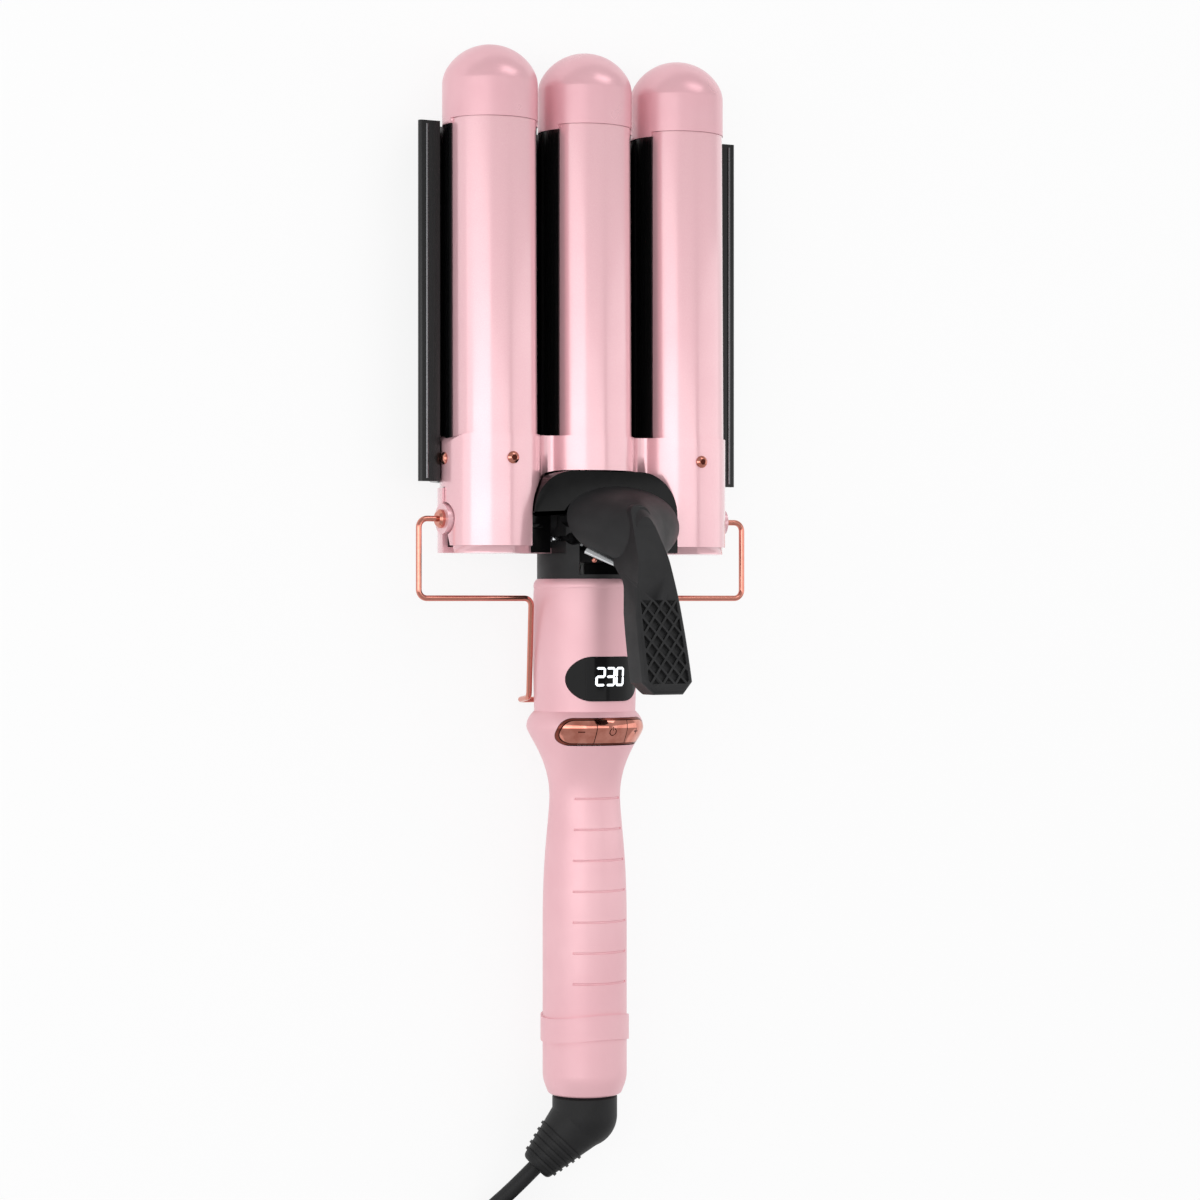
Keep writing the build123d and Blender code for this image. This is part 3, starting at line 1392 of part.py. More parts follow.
with BuildPart() as cord_tail:
    with BuildLine() as tail_path:
        FilletPolyline(*tail_points, radius=bend_radii(tail_points))
    with BuildSketch(Plane(origin=tail_path.line @ 0, z_dir=tail_path.line % 0)):
        Circle(cord_radius)
    sweep(path=tail_path.wire())
save(cord_tail, "cord_tail")
print("tail bends", [round(r, 1) for r in bend_radii(tail_points)])

with BuildPart() as plug_body:
    with BuildSketch(Plane.XY.offset(0)):
        with BuildLine():
            half = plug_width / 2
            FilletPolyline(
                (body_start, tail_y - 5.5), (body_start + 8, tail_y - 7.5), (body_start + plug_length - 9, tail_y - half),
                (body_start + plug_length, tail_y - half), (body_start + plug_length, tail_y + half),
                (body_start + plug_length - 9, tail_y + half), (body_start + 8, tail_y + 7.5),
                (body_start, tail_y + 5.5),
                radius=2.5, close=True,
            )
        make_face()
    extrude(amount=plug_thickness)
    fillet(plug_body.faces().filter_by(Axis.Z).edges(), 1.5)
    relief_place = Plane(origin=(relief_start, tail_y, plug_thickness / 2), z_dir=(1, 0, 0))
    with BuildSketch(relief_place):
        Circle(cord_radius + 1)
    with BuildSketch(relief_place.offset(plug_relief + 1)):
        Circle(5.2)
    loft()
save(plug_body, "plug_body")

with BuildPart() as plug_pins:
    with BuildSketch(Plane.YZ.offset(body_start + plug_length)):
        with Locations((tail_y + plug_pin_spacing / 2, plug_thickness / 2),
                       (tail_y - plug_pin_spacing / 2, plug_thickness / 2)):
            Circle(plug_pin_radius)
    extrude(amount=plug_pin_length)
    chamfer(plug_pins.edges().group_by(Axis.X)[-1], 0.8)
save(plug_pins, "plug_pins")
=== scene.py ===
# %% [markdown]
# # A three-barrel hair waver
# The shapes of this tool come from its CAD model: barrels, cover, handle, lever and stand are all
# there to the tenth of a millimetre. Blender's work is what a model of solids can't say: the
# lacquer's pearl, the soft-touch skin of the grip, the lit digits, and a cord that lies as a cord
# lies. The first cell loads the imported model as a fixed frame.

# %% Load the frame
import json
import math

import bmesh
import bpy
from mathutils import Matrix, Vector


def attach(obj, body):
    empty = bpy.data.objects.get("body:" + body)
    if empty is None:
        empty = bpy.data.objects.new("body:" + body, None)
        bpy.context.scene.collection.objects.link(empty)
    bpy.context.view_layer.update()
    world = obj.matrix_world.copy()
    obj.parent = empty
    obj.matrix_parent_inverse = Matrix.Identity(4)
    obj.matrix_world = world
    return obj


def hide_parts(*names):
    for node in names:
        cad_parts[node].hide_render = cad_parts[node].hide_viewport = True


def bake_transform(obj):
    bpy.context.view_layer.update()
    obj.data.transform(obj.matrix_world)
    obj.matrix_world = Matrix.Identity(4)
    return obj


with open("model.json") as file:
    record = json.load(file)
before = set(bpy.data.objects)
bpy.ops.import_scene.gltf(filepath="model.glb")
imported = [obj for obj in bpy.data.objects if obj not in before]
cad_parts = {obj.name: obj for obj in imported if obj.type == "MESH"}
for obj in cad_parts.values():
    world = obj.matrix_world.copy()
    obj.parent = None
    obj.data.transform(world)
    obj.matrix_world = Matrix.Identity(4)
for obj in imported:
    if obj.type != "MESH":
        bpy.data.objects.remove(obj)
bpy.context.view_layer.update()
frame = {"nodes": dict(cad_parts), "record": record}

nodes = frame["nodes"]

# %% [markdown]
# ## The camera
# A long lens from more than a metre away keeps the three barrels nearly parallel, as in any
# catalogue picture. The tool lies on its back, so the camera looks down on it, turned a little to
# the left, and the tool's own long axis is up in the picture.

# %% Camera
axis_height = 0.0203  # the tool's axis above the table
camera_turn = math.radians(29)
camera_distance = 1.1
camera_shift = 0.00533
camera_level = -0.0276
sensor = 36.0
lens_length = 3160 / 1200 * sensor

right = Vector((math.cos(camera_turn), 0, math.sin(camera_turn)))
back = Vector((-math.sin(camera_turn), 0, math.cos(camera_turn)))
camera_data = bpy.data.cameras.new("camera")
camera_data.lens, camera_data.sensor_width = lens_length, sensor
camera_data.clip_start, camera_data.clip_end = 0.1, 20
camera = bpy.data.objects.new("camera", camera_data)
camera.location = Vector((0, camera_level, axis_height)) + right * camera_shift + back * camera_distance
camera.rotation_euler = (0, -camera_turn, 0)
bpy.context.scene.collection.objects.link(camera)
bpy.context.scene.camera = camera
print("camera", round(lens_length, 1), "mm at", [round(v, 3) for v in camera.location])

# %% [markdown]
# ## Small helpers
# Every new piece starts as a bmesh, which is a mesh that operators can work on. `piece` turns a
# finished bmesh into an object that stays at the origin, so that its place is in its mesh. Spun
# and mirrored shapes can come out inside out, so their normals are worked out again once doubled
# vertices are merged.

# %% Making an object from a bmesh
def piece(name, shape, finish, body, smooth=35):
    """An object from a bmesh, with its finish, riding on a CAD body."""
    bmesh.ops.remove_doubles(shape, verts=shape.verts, dist=1e-6)
    bmesh.ops.recalc_face_normals(shape, faces=shape.faces)
    mesh = bpy.data.meshes.new(name)
    shape.to_mesh(mesh)
    shape.free()
    mesh.materials.append(finish)
    made = bpy.data.objects.new(name, mesh)
    bpy.context.scene.collection.objects.link(made)
    mesh.shade_smooth()
    mesh.set_sharp_from_angle(angle=math.radians(smooth))
    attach(made, body)
    print(name, len(mesh.polygons), "faces on", body)
    return made


# %% [markdown]
# ## Shader maths as Python
# A finish is a small network of nodes. Written out call by call it hides its own idea, so two
# small classes carry it: a `Value` is a socket that Python's operators work on, and a `Finish`
# adds any other node through one method, settings first and sockets after. Colours never go
# through a Math node, which would turn them grey: they are mixed.

# %% Sockets with operators
class Value:
    """A node's output; each operator on it adds one Math node."""

    def __init__(self, finish, socket):
        self.finish, self.socket = finish, socket

    def maths(self, operation, first, second=0.0):
        return self.finish.node("ShaderNodeMath", {"operation": operation}, {0: first, 1: second})

    def __add__(self, other):
        return self.maths("ADD", self, other)

    def __sub__(self, other):
        return self.maths("SUBTRACT", self, other)

    def __rsub__(self, other):
        return self.maths("SUBTRACT", other, self)

    def __mul__(self, other):
        return self.maths("MULTIPLY", self, other)

    def __lt__(self, other):
        return self.maths("LESS_THAN", self, other)

    def __gt__(self, other):
        return self.maths("GREATER_THAN", self, other)

    def __and__(self, other):
        return self.maths("MINIMUM", self, other)

    def __or__(self, other):
        return self.maths("MAXIMUM", self, other)

    def __abs__(self):
        return self.maths("ABSOLUTE", self)

    def root(self):
        return self.maths("SQRT", self)

    __radd__, __rmul__ = __add__, __mul__


class Finish:
    """A material with one Principled shader, built node by node."""

    def __init__(self, name):
        self.material = bpy.data.materials.new(name)
        self.material.use_nodes = True
        self.tree = self.material.node_tree
        self.tree.nodes.clear()
        self.shader = self.tree.nodes.new("ShaderNodeBsdfPrincipled")
        self.output = self.tree.nodes.new("ShaderNodeOutputMaterial")
        self.tree.links.new(self.shader.outputs[0], self.output.inputs[0])

    def plug(self, socket, value):
        if isinstance(value, Value):
            self.tree.links.new(value.socket, socket)
        else:
            socket.default_value = value

    def node(self, kind, settings=None, sockets=None, output=0):
        """One node of a kind: its settings, then the values or links of its sockets."""
        made = self.tree.nodes.new(kind)
        for name, value in (settings or {}).items():
            if name == "stops":
                ramp = made.color_ramp.elements
                while len(ramp) < len(value):
                    ramp.new(0.5)
                for stop, (place, colour) in zip(ramp, value):
                    stop.position, stop.color = place, colour
            else:
                setattr(made, name, value)
        for key, value in (sockets or {}).items():
            self.plug(made.inputs[key], value)
        return Value(self, made.outputs[output])

    def place(self, centre=(0, 0, 0), turn=(0, 0, 0), scale=(1, 1, 1)):
        """Object coordinates in metres, measured from a centre, turned and scaled."""
        seen = self.node("ShaderNodeTexCoord", output=3)
        moved = self.node("ShaderNodeVectorMath", {"operation": "SUBTRACT"}, {0: seen, 1: centre})
        if tuple(turn) == (0, 0, 0) and tuple(scale) == (1, 1, 1):
            return moved
        return self.node("ShaderNodeMapping", {}, {"Vector": moved, "Rotation": turn, "Scale": scale})

    def noise(self, size, detail=2.0, roughness=0.5, at=None):
        """Noise whose grains are about size metres across."""
        at = self.place() if at is None else at
        return self.node("ShaderNodeTexNoise", {}, {"Vector": at, "Scale": 1 / size, "Detail": detail,
                                                    "Roughness": roughness})

    def ramp(self, value, low, high, start=0.0, end=1.0):
        """A value taken from low..high to start..end, and held there."""
        return self.node("ShaderNodeMapRange", {"clamp": True}, {0: value, 1: low, 2: high, 3: start, 4: end})

    def mix(self, share, first, second):
        """Two colours mixed."""
        return self.node("ShaderNodeMix", {"data_type": "RGBA"}, {0: share, 6: first, 7: second}, output=2)

    def bump(self, height, depth, distance, normal=None):
        sockets = {"Strength": depth, "Distance": distance, "Height": height}
        if normal is not None:
            sockets["Normal"] = normal
        return self.node("ShaderNodeBump", {}, sockets)

    def split(self, vector):
        """The three parts of a vector."""
        parts = self.tree.nodes.new("ShaderNodeSeparateXYZ")
        self.plug(parts.inputs[0], vector)
        return [Value(self, socket) for socket in parts.outputs]

    def done(self, **sockets):
        """Sets the shader's sockets by name and gives the material."""
        for name, value in sockets.items():
            self.plug(self.shader.inputs[name.replace("_", " ")], value)
        return self.material


def linear(red, green, blue):
    """A colour as a screen shows it, 0 to 255, as the light that it stands for."""
    parts = [c / 255 for c in (red, green, blue)]
    return (*[c / 12.92 if c <= 0.04045 else ((c + 0.055) / 1.055) ** 2.4 for c in parts], 1.0)


# %% [markdown]
# ## The pinks
# One pink is carried by several surfaces that catch light in their own ways. The cover is
# lacquered over a metallic base, so it has sharp strip lights and a faint pearl. The caps are
# satin. The grip is dipped in a soft-touch skin: a broad soft sheen, a very fine tooth, and a
# faint cloudiness where hands have been. All vary a little in roughness, since no real surface is
# even.

# %% Pink lacquer with pearl
def pearl_pink():
    """Lacquer with fine pearl flakes under a clear coat."""
    finish = Finish("pearl_pink")
    flakes = finish.noise(0.00022, detail=1.0)
    clouds = finish.noise(0.02, detail=3.0)
    tone = finish.ramp(flakes, 0.35, 0.7, 0.0, 0.35)
    colour = finish.mix(tone, linear(240, 188, 196), linear(252, 214, 217))
    colour = finish.mix(finish.ramp(clouds, 0.3, 0.7, 0.0, 0.25), colour, linear(236, 180, 190))
    peel = finish.noise(0.0016, detail=1.0)
    return finish.done(
        Base_Color=colour,
        Metallic=0.3,
        Roughness=finish.ramp(clouds, 0.3, 0.7, 0.2, 0.26),
        Coat_Weight=0.9,
        Coat_Roughness=0.08,
        Normal=finish.bump(peel, 0.04, 0.0003),
    )


# %% Satin caps
def satin_pink():
    """A satin paint with a little metal in it, faintly clouded."""
    finish = Finish("satin_pink")
    clouds = finish.noise(0.012, detail=3.0)
    grain = finish.noise(0.0005, detail=2.0)
    colour = finish.mix(finish.ramp(clouds, 0.3, 0.7), linear(239, 188, 196), linear(235, 181, 190))
    return finish.done(
        Base_Color=colour,
        Metallic=0.34,
        Roughness=finish.ramp(clouds, 0.3, 0.7, 0.27, 0.33),
        Normal=finish.bump(grain, 0.06, 0.0002),
    )


# %% Soft-touch grip
def soft_pink():
    """A soft-touch skin: a low sheen, finely toothed, faintly clouded by use."""
    finish = Finish("soft_pink")
    tooth = finish.noise(0.00035, detail=3.0, roughness=0.6)
    clouds = finish.noise(0.025, detail=4.0)
    colour = finish.mix(finish.ramp(clouds, 0.3, 0.7), linear(243, 193, 200), linear(238, 185, 193))
    return finish.done(
        Base_Color=colour,
        Metallic=0.22,
        Roughness=finish.ramp(clouds, 0.3, 0.7, 0.36, 0.44),
        Normal=finish.bump(tooth, 0.12, 0.0002),
    )


# %% [markdown]
# ## The blacks
# Black is never one black. The hub is polished moulding, the lever a fine spark-eroded satin, the
# hot plates a ceramic coating with a speckle that only shows in raking light, and the boot and
# cord a matt rubber that picks up dust.

# %% Plastics, coating and rubber in black
def gloss_black():
    finish = Finish("gloss_black")
    marks = finish.noise(0.004, detail=5.0, roughness=0.7)
    return finish.done(
        Base_Color=finish.mix(finish.ramp(marks, 0.3, 0.75), linear(7, 7, 8), linear(12, 12, 12)),
        Specular_IOR_Level=0.2,
        Roughness=finish.ramp(marks, 0.3, 0.75, 0.1, 0.18),
        Normal=finish.bump(finish.noise(0.004, detail=1.0), 0.02, 0.0003),
    )


def satin_black():
    finish = Finish("satin_black")
    tooth = finish.noise(0.00028, detail=2.0, roughness=0.6)
    wear = finish.noise(0.009, detail=4.0)
    return finish.done(
        Base_Color=finish.mix(finish.ramp(wear, 0.3, 0.7), linear(42, 42, 43), linear(36, 36, 37)),
        Specular_IOR_Level=0.22,
        Roughness=finish.ramp(wear, 0.3, 0.7, 0.42, 0.52),
        Normal=finish.bump(tooth, 0.16, 0.0002),
    )


def jaw_coating():
    finish = Finish("jaw_coating")
    speckle = finish.noise(0.0004, detail=2.0)
    drawn = finish.noise(0.0015, detail=2.0, at=finish.place(scale=(1, 0.02, 1)))
    return finish.done(
        Base_Color=finish.mix(finish.ramp(speckle, 0.45, 0.7), linear(10, 10, 11), linear(19, 19, 20)),
        Metallic=0.2,
        Roughness=finish.ramp(drawn, 0.3, 0.7, 0.2, 0.32),
        Normal=finish.bump(speckle, 0.05, 0.0001),
    )


def rubber_black():
    finish = Finish("rubber_black")
    tooth = finish.noise(0.0005, detail=3.0, roughness=0.7)
    dust = finish.noise(0.01, detail=5.0, roughness=0.7)
    return finish.done(
        Base_Color=finish.mix(finish.ramp(dust, 0.4, 0.8, 0.0, 0.6), linear(24, 24, 25), linear(40, 40, 41)),
        Specular_IOR_Level=0.3,
        Roughness=finish.ramp(dust, 0.3, 0.7, 0.5, 0.62),
        Normal=finish.bump(tooth, 0.1, 0.0002),
    )


# %% [markdown]
# ## Metals
# Rose gold here is a thin plating on wire, screws and keys: bright, and very slightly uneven. The
# wire was drawn, so its faint lines run along it, and the keys are polished.

# %% Rose gold, steel and brass
def metal(name, colour, low, high, grain):
    finish = Finish(name)
    haze = finish.noise(grain, detail=4.0, roughness=0.6)
    shade = tuple(0.82 * c for c in colour[:3]) + (1.0,)
    return finish.done(
        Base_Color=finish.mix(finish.ramp(haze, 0.3, 0.7, 0.0, 0.6), colour, shade),
        Metallic=1.0,
        Roughness=finish.ramp(haze, 0.3, 0.7, low, high),
        Normal=finish.bump(haze, 0.03, 0.0002),
    )


# %% [markdown]
# The three keys and the screws are the same plating with something cut into them. On a key that is
# a minus, a plus or the usual power sign, and on a screw the hexagon for its driver. Both are drawn
# as distances from where they are on the tool, and the same mask sinks the surface and darkens the
# colour there with painted shade in the cut.

# %% Signs on the keys and sockets in the screws
key_line = -0.0728
sign_line = 0.00016
screw_line = 0.0206
screw_reach = 0.037


def engraved_with_painted_shade(finish, cut, depth=0.6):
    """Polished rose gold, sunk where cut is 1 and darkened there with painted shade."""
    haze = finish.noise(0.0036, detail=3.0)
    gold = finish.mix(finish.ramp(haze, 0.35, 0.65), linear(220, 148, 132), linear(196, 122, 106))
    return finish.done(
        # Painted shade: the dark copper in the cut stands for the shadow inside the groove or socket.
        Base_Color=finish.mix(cut, gold, linear(84, 40, 32)),
        Metallic=1.0,
        Roughness=finish.ramp(cut, 0.0, 1.0, 0.09, 0.4),
        Normal=finish.bump(1.0 - cut, depth, 0.0002),
    )


def signed_keys():
    finish = Finish("signed_keys")
    across, along, _ = finish.split(finish.place(centre=(0, key_line, 0)))
    flat = finish.ramp(abs(along), sign_line, sign_line + 0.00008, 1.0, 0.0)
    reach = finish.ramp(abs(abs(across) - 0.0106), 0.0010, 0.0011, 1.0, 0.0)
    upright = finish.ramp(abs(across - 0.0106), sign_line, sign_line + 0.00008, 1.0, 0.0)
    upright = upright & finish.ramp(abs(along), 0.0010, 0.0011, 1.0, 0.0)
    out = (across * across + along * along).root()
    ring = finish.ramp(abs(out - 0.0012), sign_line, sign_line + 0.00008, 1.0, 0.0)
    opening = (abs(across) < 0.0005) & (along > 0.0)
    stem = (abs(across) < sign_line) & (abs(along - 0.0011) < 0.0007)
    return engraved_with_painted_shade(finish, (flat & reach) | upright | (ring - opening) | stem)


def socket_screws(name, first, second):
    """Screws with a hexagonal socket where two coordinates, measured from their axis, are nought."""
    finish = Finish(name)
    parts = finish.split(finish.place(centre=(0, screw_line, axis_height)))
    wide, high = first(parts), second(parts)
    out = abs(high) | (abs(wide) * 0.866 + abs(high) * 0.5)
    return engraved_with_painted_shade(finish, finish.ramp(out, 0.00088, 0.00098, 1.0, 0.0), 0.9)


# %% [markdown]
# ## What lies inside
# The insides show only when the jaw is open or the tool is taken apart, yet they get their own
# finishes: green solder mask with copper paths under it, chalky ceramic, silicone-sleeved leads.

# %% Boards, ceramics and leads
def board_green():
    finish = Finish("board_green")
    paths = finish.ramp(finish.noise(0.003, detail=0.0), 0.5, 0.53)
    return finish.done(
        Base_Color=finish.mix(paths, linear(30, 104, 62), linear(46, 132, 80)),
        Roughness=finish.ramp(finish.noise(0.002), 0.3, 0.7, 0.3, 0.42),
        Normal=finish.bump(paths, 0.2, 0.0001),
    )


def plain(name, first, second, low, high, grain, depth=0.1):
    """A finish whose two tones, roughness and tooth come from one noise."""
    finish = Finish(name)
    tooth = finish.noise(grain, detail=3.0, roughness=0.6)
    return finish.done(
        Base_Color=finish.mix(finish.ramp(tooth, 0.3, 0.7), first, second),
        Roughness=finish.ramp(tooth, 0.3, 0.7, low, high),
        Normal=finish.bump(tooth, depth, 0.0002),
    )


# %% [markdown]
# ## The smoked lens
# A single dark pane closes the display. The panel behind it shows as a slightly lighter upright
# field with a fine seam on each side, and a pin hole for the light sensor at the left is painted
# near black as painted shade.

# %% Display lens
panel_half = 0.0085
sensor_hole = Vector((-0.0117, -0.0541, 0))


def lens_black():
    finish = Finish("lens_black")
    across, along, _ = finish.split(finish.place())
    side = abs(across)
    panel = side < panel_half
    seam = finish.ramp(abs(side - panel_half), 0.0001, 0.00022, 1.0, 0.0)
    hole_x, hole_y = abs(across - sensor_hole.x), abs(along - sensor_hole.y)
    hole_shade = (hole_x < 0.00035) & (hole_y < 0.00035)
    colour = finish.mix(panel, linear(8, 8, 9), linear(24, 24, 25))
    # The seams are dark joints; the pin hole is painted near black, painted shade for the hole.
    colour = finish.mix(seam | hole_shade, colour, linear(2, 2, 2))
    return finish.done(
        Base_Color=colour,
        Roughness=finish.ramp(finish.noise(0.006, detail=4.0), 0.3, 0.7, 0.1, 0.16),
        Specular_IOR_Level=0.1,
    )


# %% Dress every node by the slot that the record gives it
finishes = {
    "pearl_pink": pearl_pink(),
    "satin_pink": satin_pink(),
    "soft_pink": soft_pink(),
    "plate_pink": plain("plate_pink", linear(238, 186, 194), linear(233, 178, 188), 0.28, 0.36, 0.001, 0.04),
    "gloss_black": gloss_black(),
    "satin_black": satin_black(),
    "jaw_coating": jaw_coating(),
    "rubber_black": rubber_black(),
    "lens_black": lens_black(),
    "rose_gold": metal("rose_gold", linear(216, 142, 126), 0.12, 0.2, 0.0012),
    "steel": metal("steel", linear(196, 198, 200), 0.2, 0.34, 0.0008),
    "brass_pins": metal("brass_pins", linear(214, 206, 188), 0.14, 0.24, 0.001),
    "board_green": board_green(),
    "part_grey": plain("part_grey", linear(92, 93, 96), linear(70, 71, 74), 0.4, 0.5, 0.0006),
    "ceramic_white": plain("ceramic_white", linear(236, 232, 222), linear(222, 216, 204), 0.6, 0.75, 0.0007),
    "lead_white": plain("lead_white", linear(228, 228, 226), linear(214, 214, 212), 0.45, 0.55, 0.0012),
}
slot_of = {part["node"]: part["material_slot"] for part in frame["record"]["subparts"]}
keys = signed_keys()
special = {
    "button_frame": metal("frame_gold", linear(128, 68, 58), 0.2, 0.3, 0.001),
    "button_minus": keys,
    "button_power": keys,
    "button_plus": keys,
    "cover_screws": socket_screws("cover_screws", lambda at: abs(at[0]) - screw_reach, lambda at: at[1]),
    "side_screws": socket_screws("side_screws", lambda at: at[2], lambda at: at[1]),
}
for name, node in nodes.items():
    node.data.materials.clear()
    node.data.materials.append(special.get(name, finishes[slot_of[name]]))
print(len(finishes), "finishes on", len(nodes), "nodes")

# %% [markdown]
# ## The cover
# The cover is one lacquered moulding. Its three prongs are arches that stand almost flush with the
# shroud in front and step in at their sides. The shroud is the CAD model's own, cut off just above
# its screws: its wall is drawn up again from there. The upper outer corners are rounded by a few
# cuts, and each prong is a short edge spun into an arch and then drawn up to its cap.

# %% Copies of CAD nodes, and cuts
def copy_of(name):
    """A node's mesh as a bmesh, with its doubled vertices merged."""
    shape = bmesh.new()
    shape.from_mesh(nodes[name].data)
    bmesh.ops.remove_doubles(shape, verts=shape.verts, dist=1e-6)
    return shape


def cut(shape, point, outward, close=True):
    """Cuts away what lies outward of a plane, and closes the cut."""
    everything = list(shape.verts) + list(shape.edges) + list(shape.faces)
    done = bmesh.ops.bisect_plane(shape, geom=everything, dist=1e-7, plane_co=point, plane_no=outward,
                                  clear_outer=True)
    edges = [item for item in done["geom_cut"] if isinstance(item, bmesh.types.BMEdge)]
    if close and edges:
        bmesh.ops.triangle_fill(shape, edges=edges, use_beauty=True)
    return edges


def drawn(shape, faces, vector):
    """Extrudes faces along a vector."""
    grown = bmesh.ops.extrude_face_region(shape, geom=faces)
    moved = [item for item in grown["geom"] if isinstance(item, bmesh.types.BMVert)]
    bmesh.ops.translate(shape, verts=moved, vec=vector)
    return moved


round_within, round_facing = 0.00006, 0.97  # how near a wall is to a cylinder, in place and in direction


def true_round(made, radius, axes):
    """Gives the walls at a radius round the barrels' axes the normals of true cylinders."""
    mesh = made.data
    normals = [corner.vector.copy() for corner in mesh.corner_normals]
    for wall in mesh.polygons:
        for loop in wall.loop_indices:
            spot = mesh.vertices[mesh.loops[loop].vertex_index].co
            for x in axes:
                out = Vector((spot.x - x, 0, spot.z - axis_height))
                near = abs(out.length - radius) < round_within
                if near and out.normalized().dot(wall.normal) > round_facing:
                    normals[loop] = out.normalized()
    mesh.normals_split_custom_set(normals)


# %% Shroud and prongs
lobe_pitch = 0.037
shroud_cut, shroud_top = 0.0235, 0.0289
prong_crest, prong_wall, prong_sink = 0.0169, 0.0014, 0.0010
prong_turn = math.radians(40)  # half of the crest's arc; beyond it the sides turn in to the lips
prong_foot, prong_top = 0.0215, 0.136
near_lip, far_lip = (0.0137, 0.0071), (0.0152, 0.0020)  # where a side ends, across and forward
prongs = [(-lobe_pitch, far_lip, near_lip), (0, near_lip, near_lip), (lobe_pitch, near_lip, far_lip)]
shroud_radius, corner_round = 0.0173, 0.0045

cover = copy_of("front_cover")
wall = cut(cover, (0, shroud_cut, 0), (0, 1, 0), close=False)
raised = bmesh.ops.extrude_edge_only(cover, edges=wall)["geom"]
bmesh.ops.translate(cover, verts=[v for v in raised if isinstance(v, bmesh.types.BMVert)],
                    vec=(0, shroud_top - shroud_cut, 0))
rim = [e for e in raised if isinstance(e, bmesh.types.BMEdge)
       and min(v.co.y for v in e.verts) > shroud_top - 1e-5]
bmesh.ops.triangle_fill(cover, edges=rim, use_beauty=True)
for side in (-1, 1):
    for turn in range(15, 76, 15):
        outward = Vector((side * math.cos(math.radians(turn)), math.sin(math.radians(turn)), 0))
        middle = Vector((side * (lobe_pitch + shroud_radius - corner_round), shroud_top - corner_round, 0))
        cut(cover, middle + corner_round * outward, outward)

for x, left_lip, right_lip in prongs:
    axis = Vector((x, prong_foot, axis_height))
    crest_end = Vector((math.sin(prong_turn), 0, math.cos(prong_turn)))
    mirror = Vector((-1, 1, 1))
    start = [cover.verts.new(axis + crest_end * mirror * reach)
             for reach in (prong_crest, prong_crest - prong_wall)]
    edge = cover.edges.new(start)
    spun = bmesh.ops.spin(cover, geom=start + [edge], cent=axis, axis=(0, 1, 0), dvec=(0, 0, 0),
                          angle=2 * prong_turn, steps=24)
    for side, lip, geom in ((-1, left_lip, start + [edge]), (1, right_lip, spun["geom_last"])):
        across, forward = lip[0] - prong_crest * crest_end.x, lip[1] - prong_crest * crest_end.z
        half = math.atan2(-forward, across) - prong_turn
        radius = math.hypot(across, forward) / (2 * math.sin(half))
        centre = crest_end * (prong_crest - radius)
        bmesh.ops.spin(cover, geom=geom, cent=axis + Vector((side * centre.x, 0, centre.z)), axis=(0, 1, 0),
                       dvec=(0, 0, 0), angle=side * 2 * half, steps=12)
    bmesh.ops.remove_doubles(cover, verts=cover.verts, dist=1e-6)
    section = [f for f in cover.faces if all(abs(v.co.y - prong_foot) < 1e-7 for v in f.verts)
               and abs(f.calc_center_median().x - x) < lobe_pitch / 2 and f.calc_area() > 1e-9
               and (f.calc_center_median() - axis).length < prong_crest]
    drawn(cover, section, (0, prong_top - prong_foot, -prong_sink))
made = piece("prong_cover", cover, finishes["pearl_pink"], "front_jaw", 24)
true_round(made, shroud_radius, (-lobe_pitch, 0, lobe_pitch))
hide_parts("front_cover")

# %% [markdown]
# ## Caps and beads
# A cap is a little wider than its barrel, so that no light falls between two of them. Only what
# lies outside the barrel grows, and the plug that fits inside stays as it is. A long triangle on a
# round wall bends a highlight, so the walls get a true cylinder's normals, as the shroud's did.
# The plate's wings end in a thin rolled bead that catches the light.

# %% Caps
cap_radius, cap_wider, cap_seat, rim_inside = 0.016, 1.024, 0.1365, 0.0155
for name, x in (("cap_left", -lobe_pitch), ("cap_centre", 0), ("cap_right", lobe_pitch)):
    cap = copy_of(name)
    outside = [v for v in cap.verts
               if v.co.y > cap_seat or math.hypot(v.co.x - x, v.co.z - axis_height) > rim_inside]
    bmesh.ops.scale(cap, verts=outside, vec=(cap_wider, 1, cap_wider),
                    space=Matrix.Translation((-x, 0, -axis_height)))
    made = piece(name.replace("cap", "domed_cap"), cap, finishes["satin_pink"], "front_jaw", 30)
    true_round(made, cap_radius * cap_wider, (x,))
    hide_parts(name)

# %% Rolled beads on the plate's wings
bead_x, bead_foot, bead_top, bead_radius, wing_face = 0.0599, 0.0138, 0.1342, 0.0005, axis_height - 0.0020
beads = bmesh.new()
for x in (-bead_x, bead_x):
    made = bmesh.ops.create_cone(beads, cap_ends=True, segments=20, radius1=bead_radius, radius2=bead_radius,
                                 depth=bead_top - bead_foot)["verts"]
    bmesh.ops.rotate(beads, verts=made, matrix=Matrix.Rotation(math.radians(90), 3, "X"))
    bmesh.ops.translate(beads, verts=made, vec=(x, (bead_foot + bead_top) / 2, wing_face))
bead_finish = metal("bead_metal", linear(112, 112, 114), 0.2, 0.3, 0.0008)
piece("wing_beads", beads, bead_finish, "handle")

# %% [markdown]
# ## Hub and lever
# The hub is a thick glossy arch whose right leg runs down beside the neck, while the left one is
# hollowed out. A boss leans out of it, wider on the right, and ends in the lever. The boss is a
# stack of rings that are bridged. What the neck and the handle sweep through as the jaw opens is
# cut from its back. The lever is the CAD model's own, narrowed to a rounded crown.

# %% Hub
hub_half, hub_top, hub_corner, hub_round = 0.0281, 0.0166, 0.0150, 0.0052
hub_back, hub_front = axis_height + 0.008, axis_height + 0.016
leg_side, leg_foot, leg_top, leg_back = 0.0169, -0.0113, 0.0024, axis_height + 0.0052
pocket_floor, arch_overlap = 0.0012, 0.0005


def plate(outline, low, high):
    """A bmesh of a flat outline in X and Y, drawn from one height to another."""
    shape = bmesh.new()
    face = shape.faces.new([shape.verts.new((x, y, low)) for x, y in outline])
    drawn(shape, [face], (0, 0, high - low))
    return shape


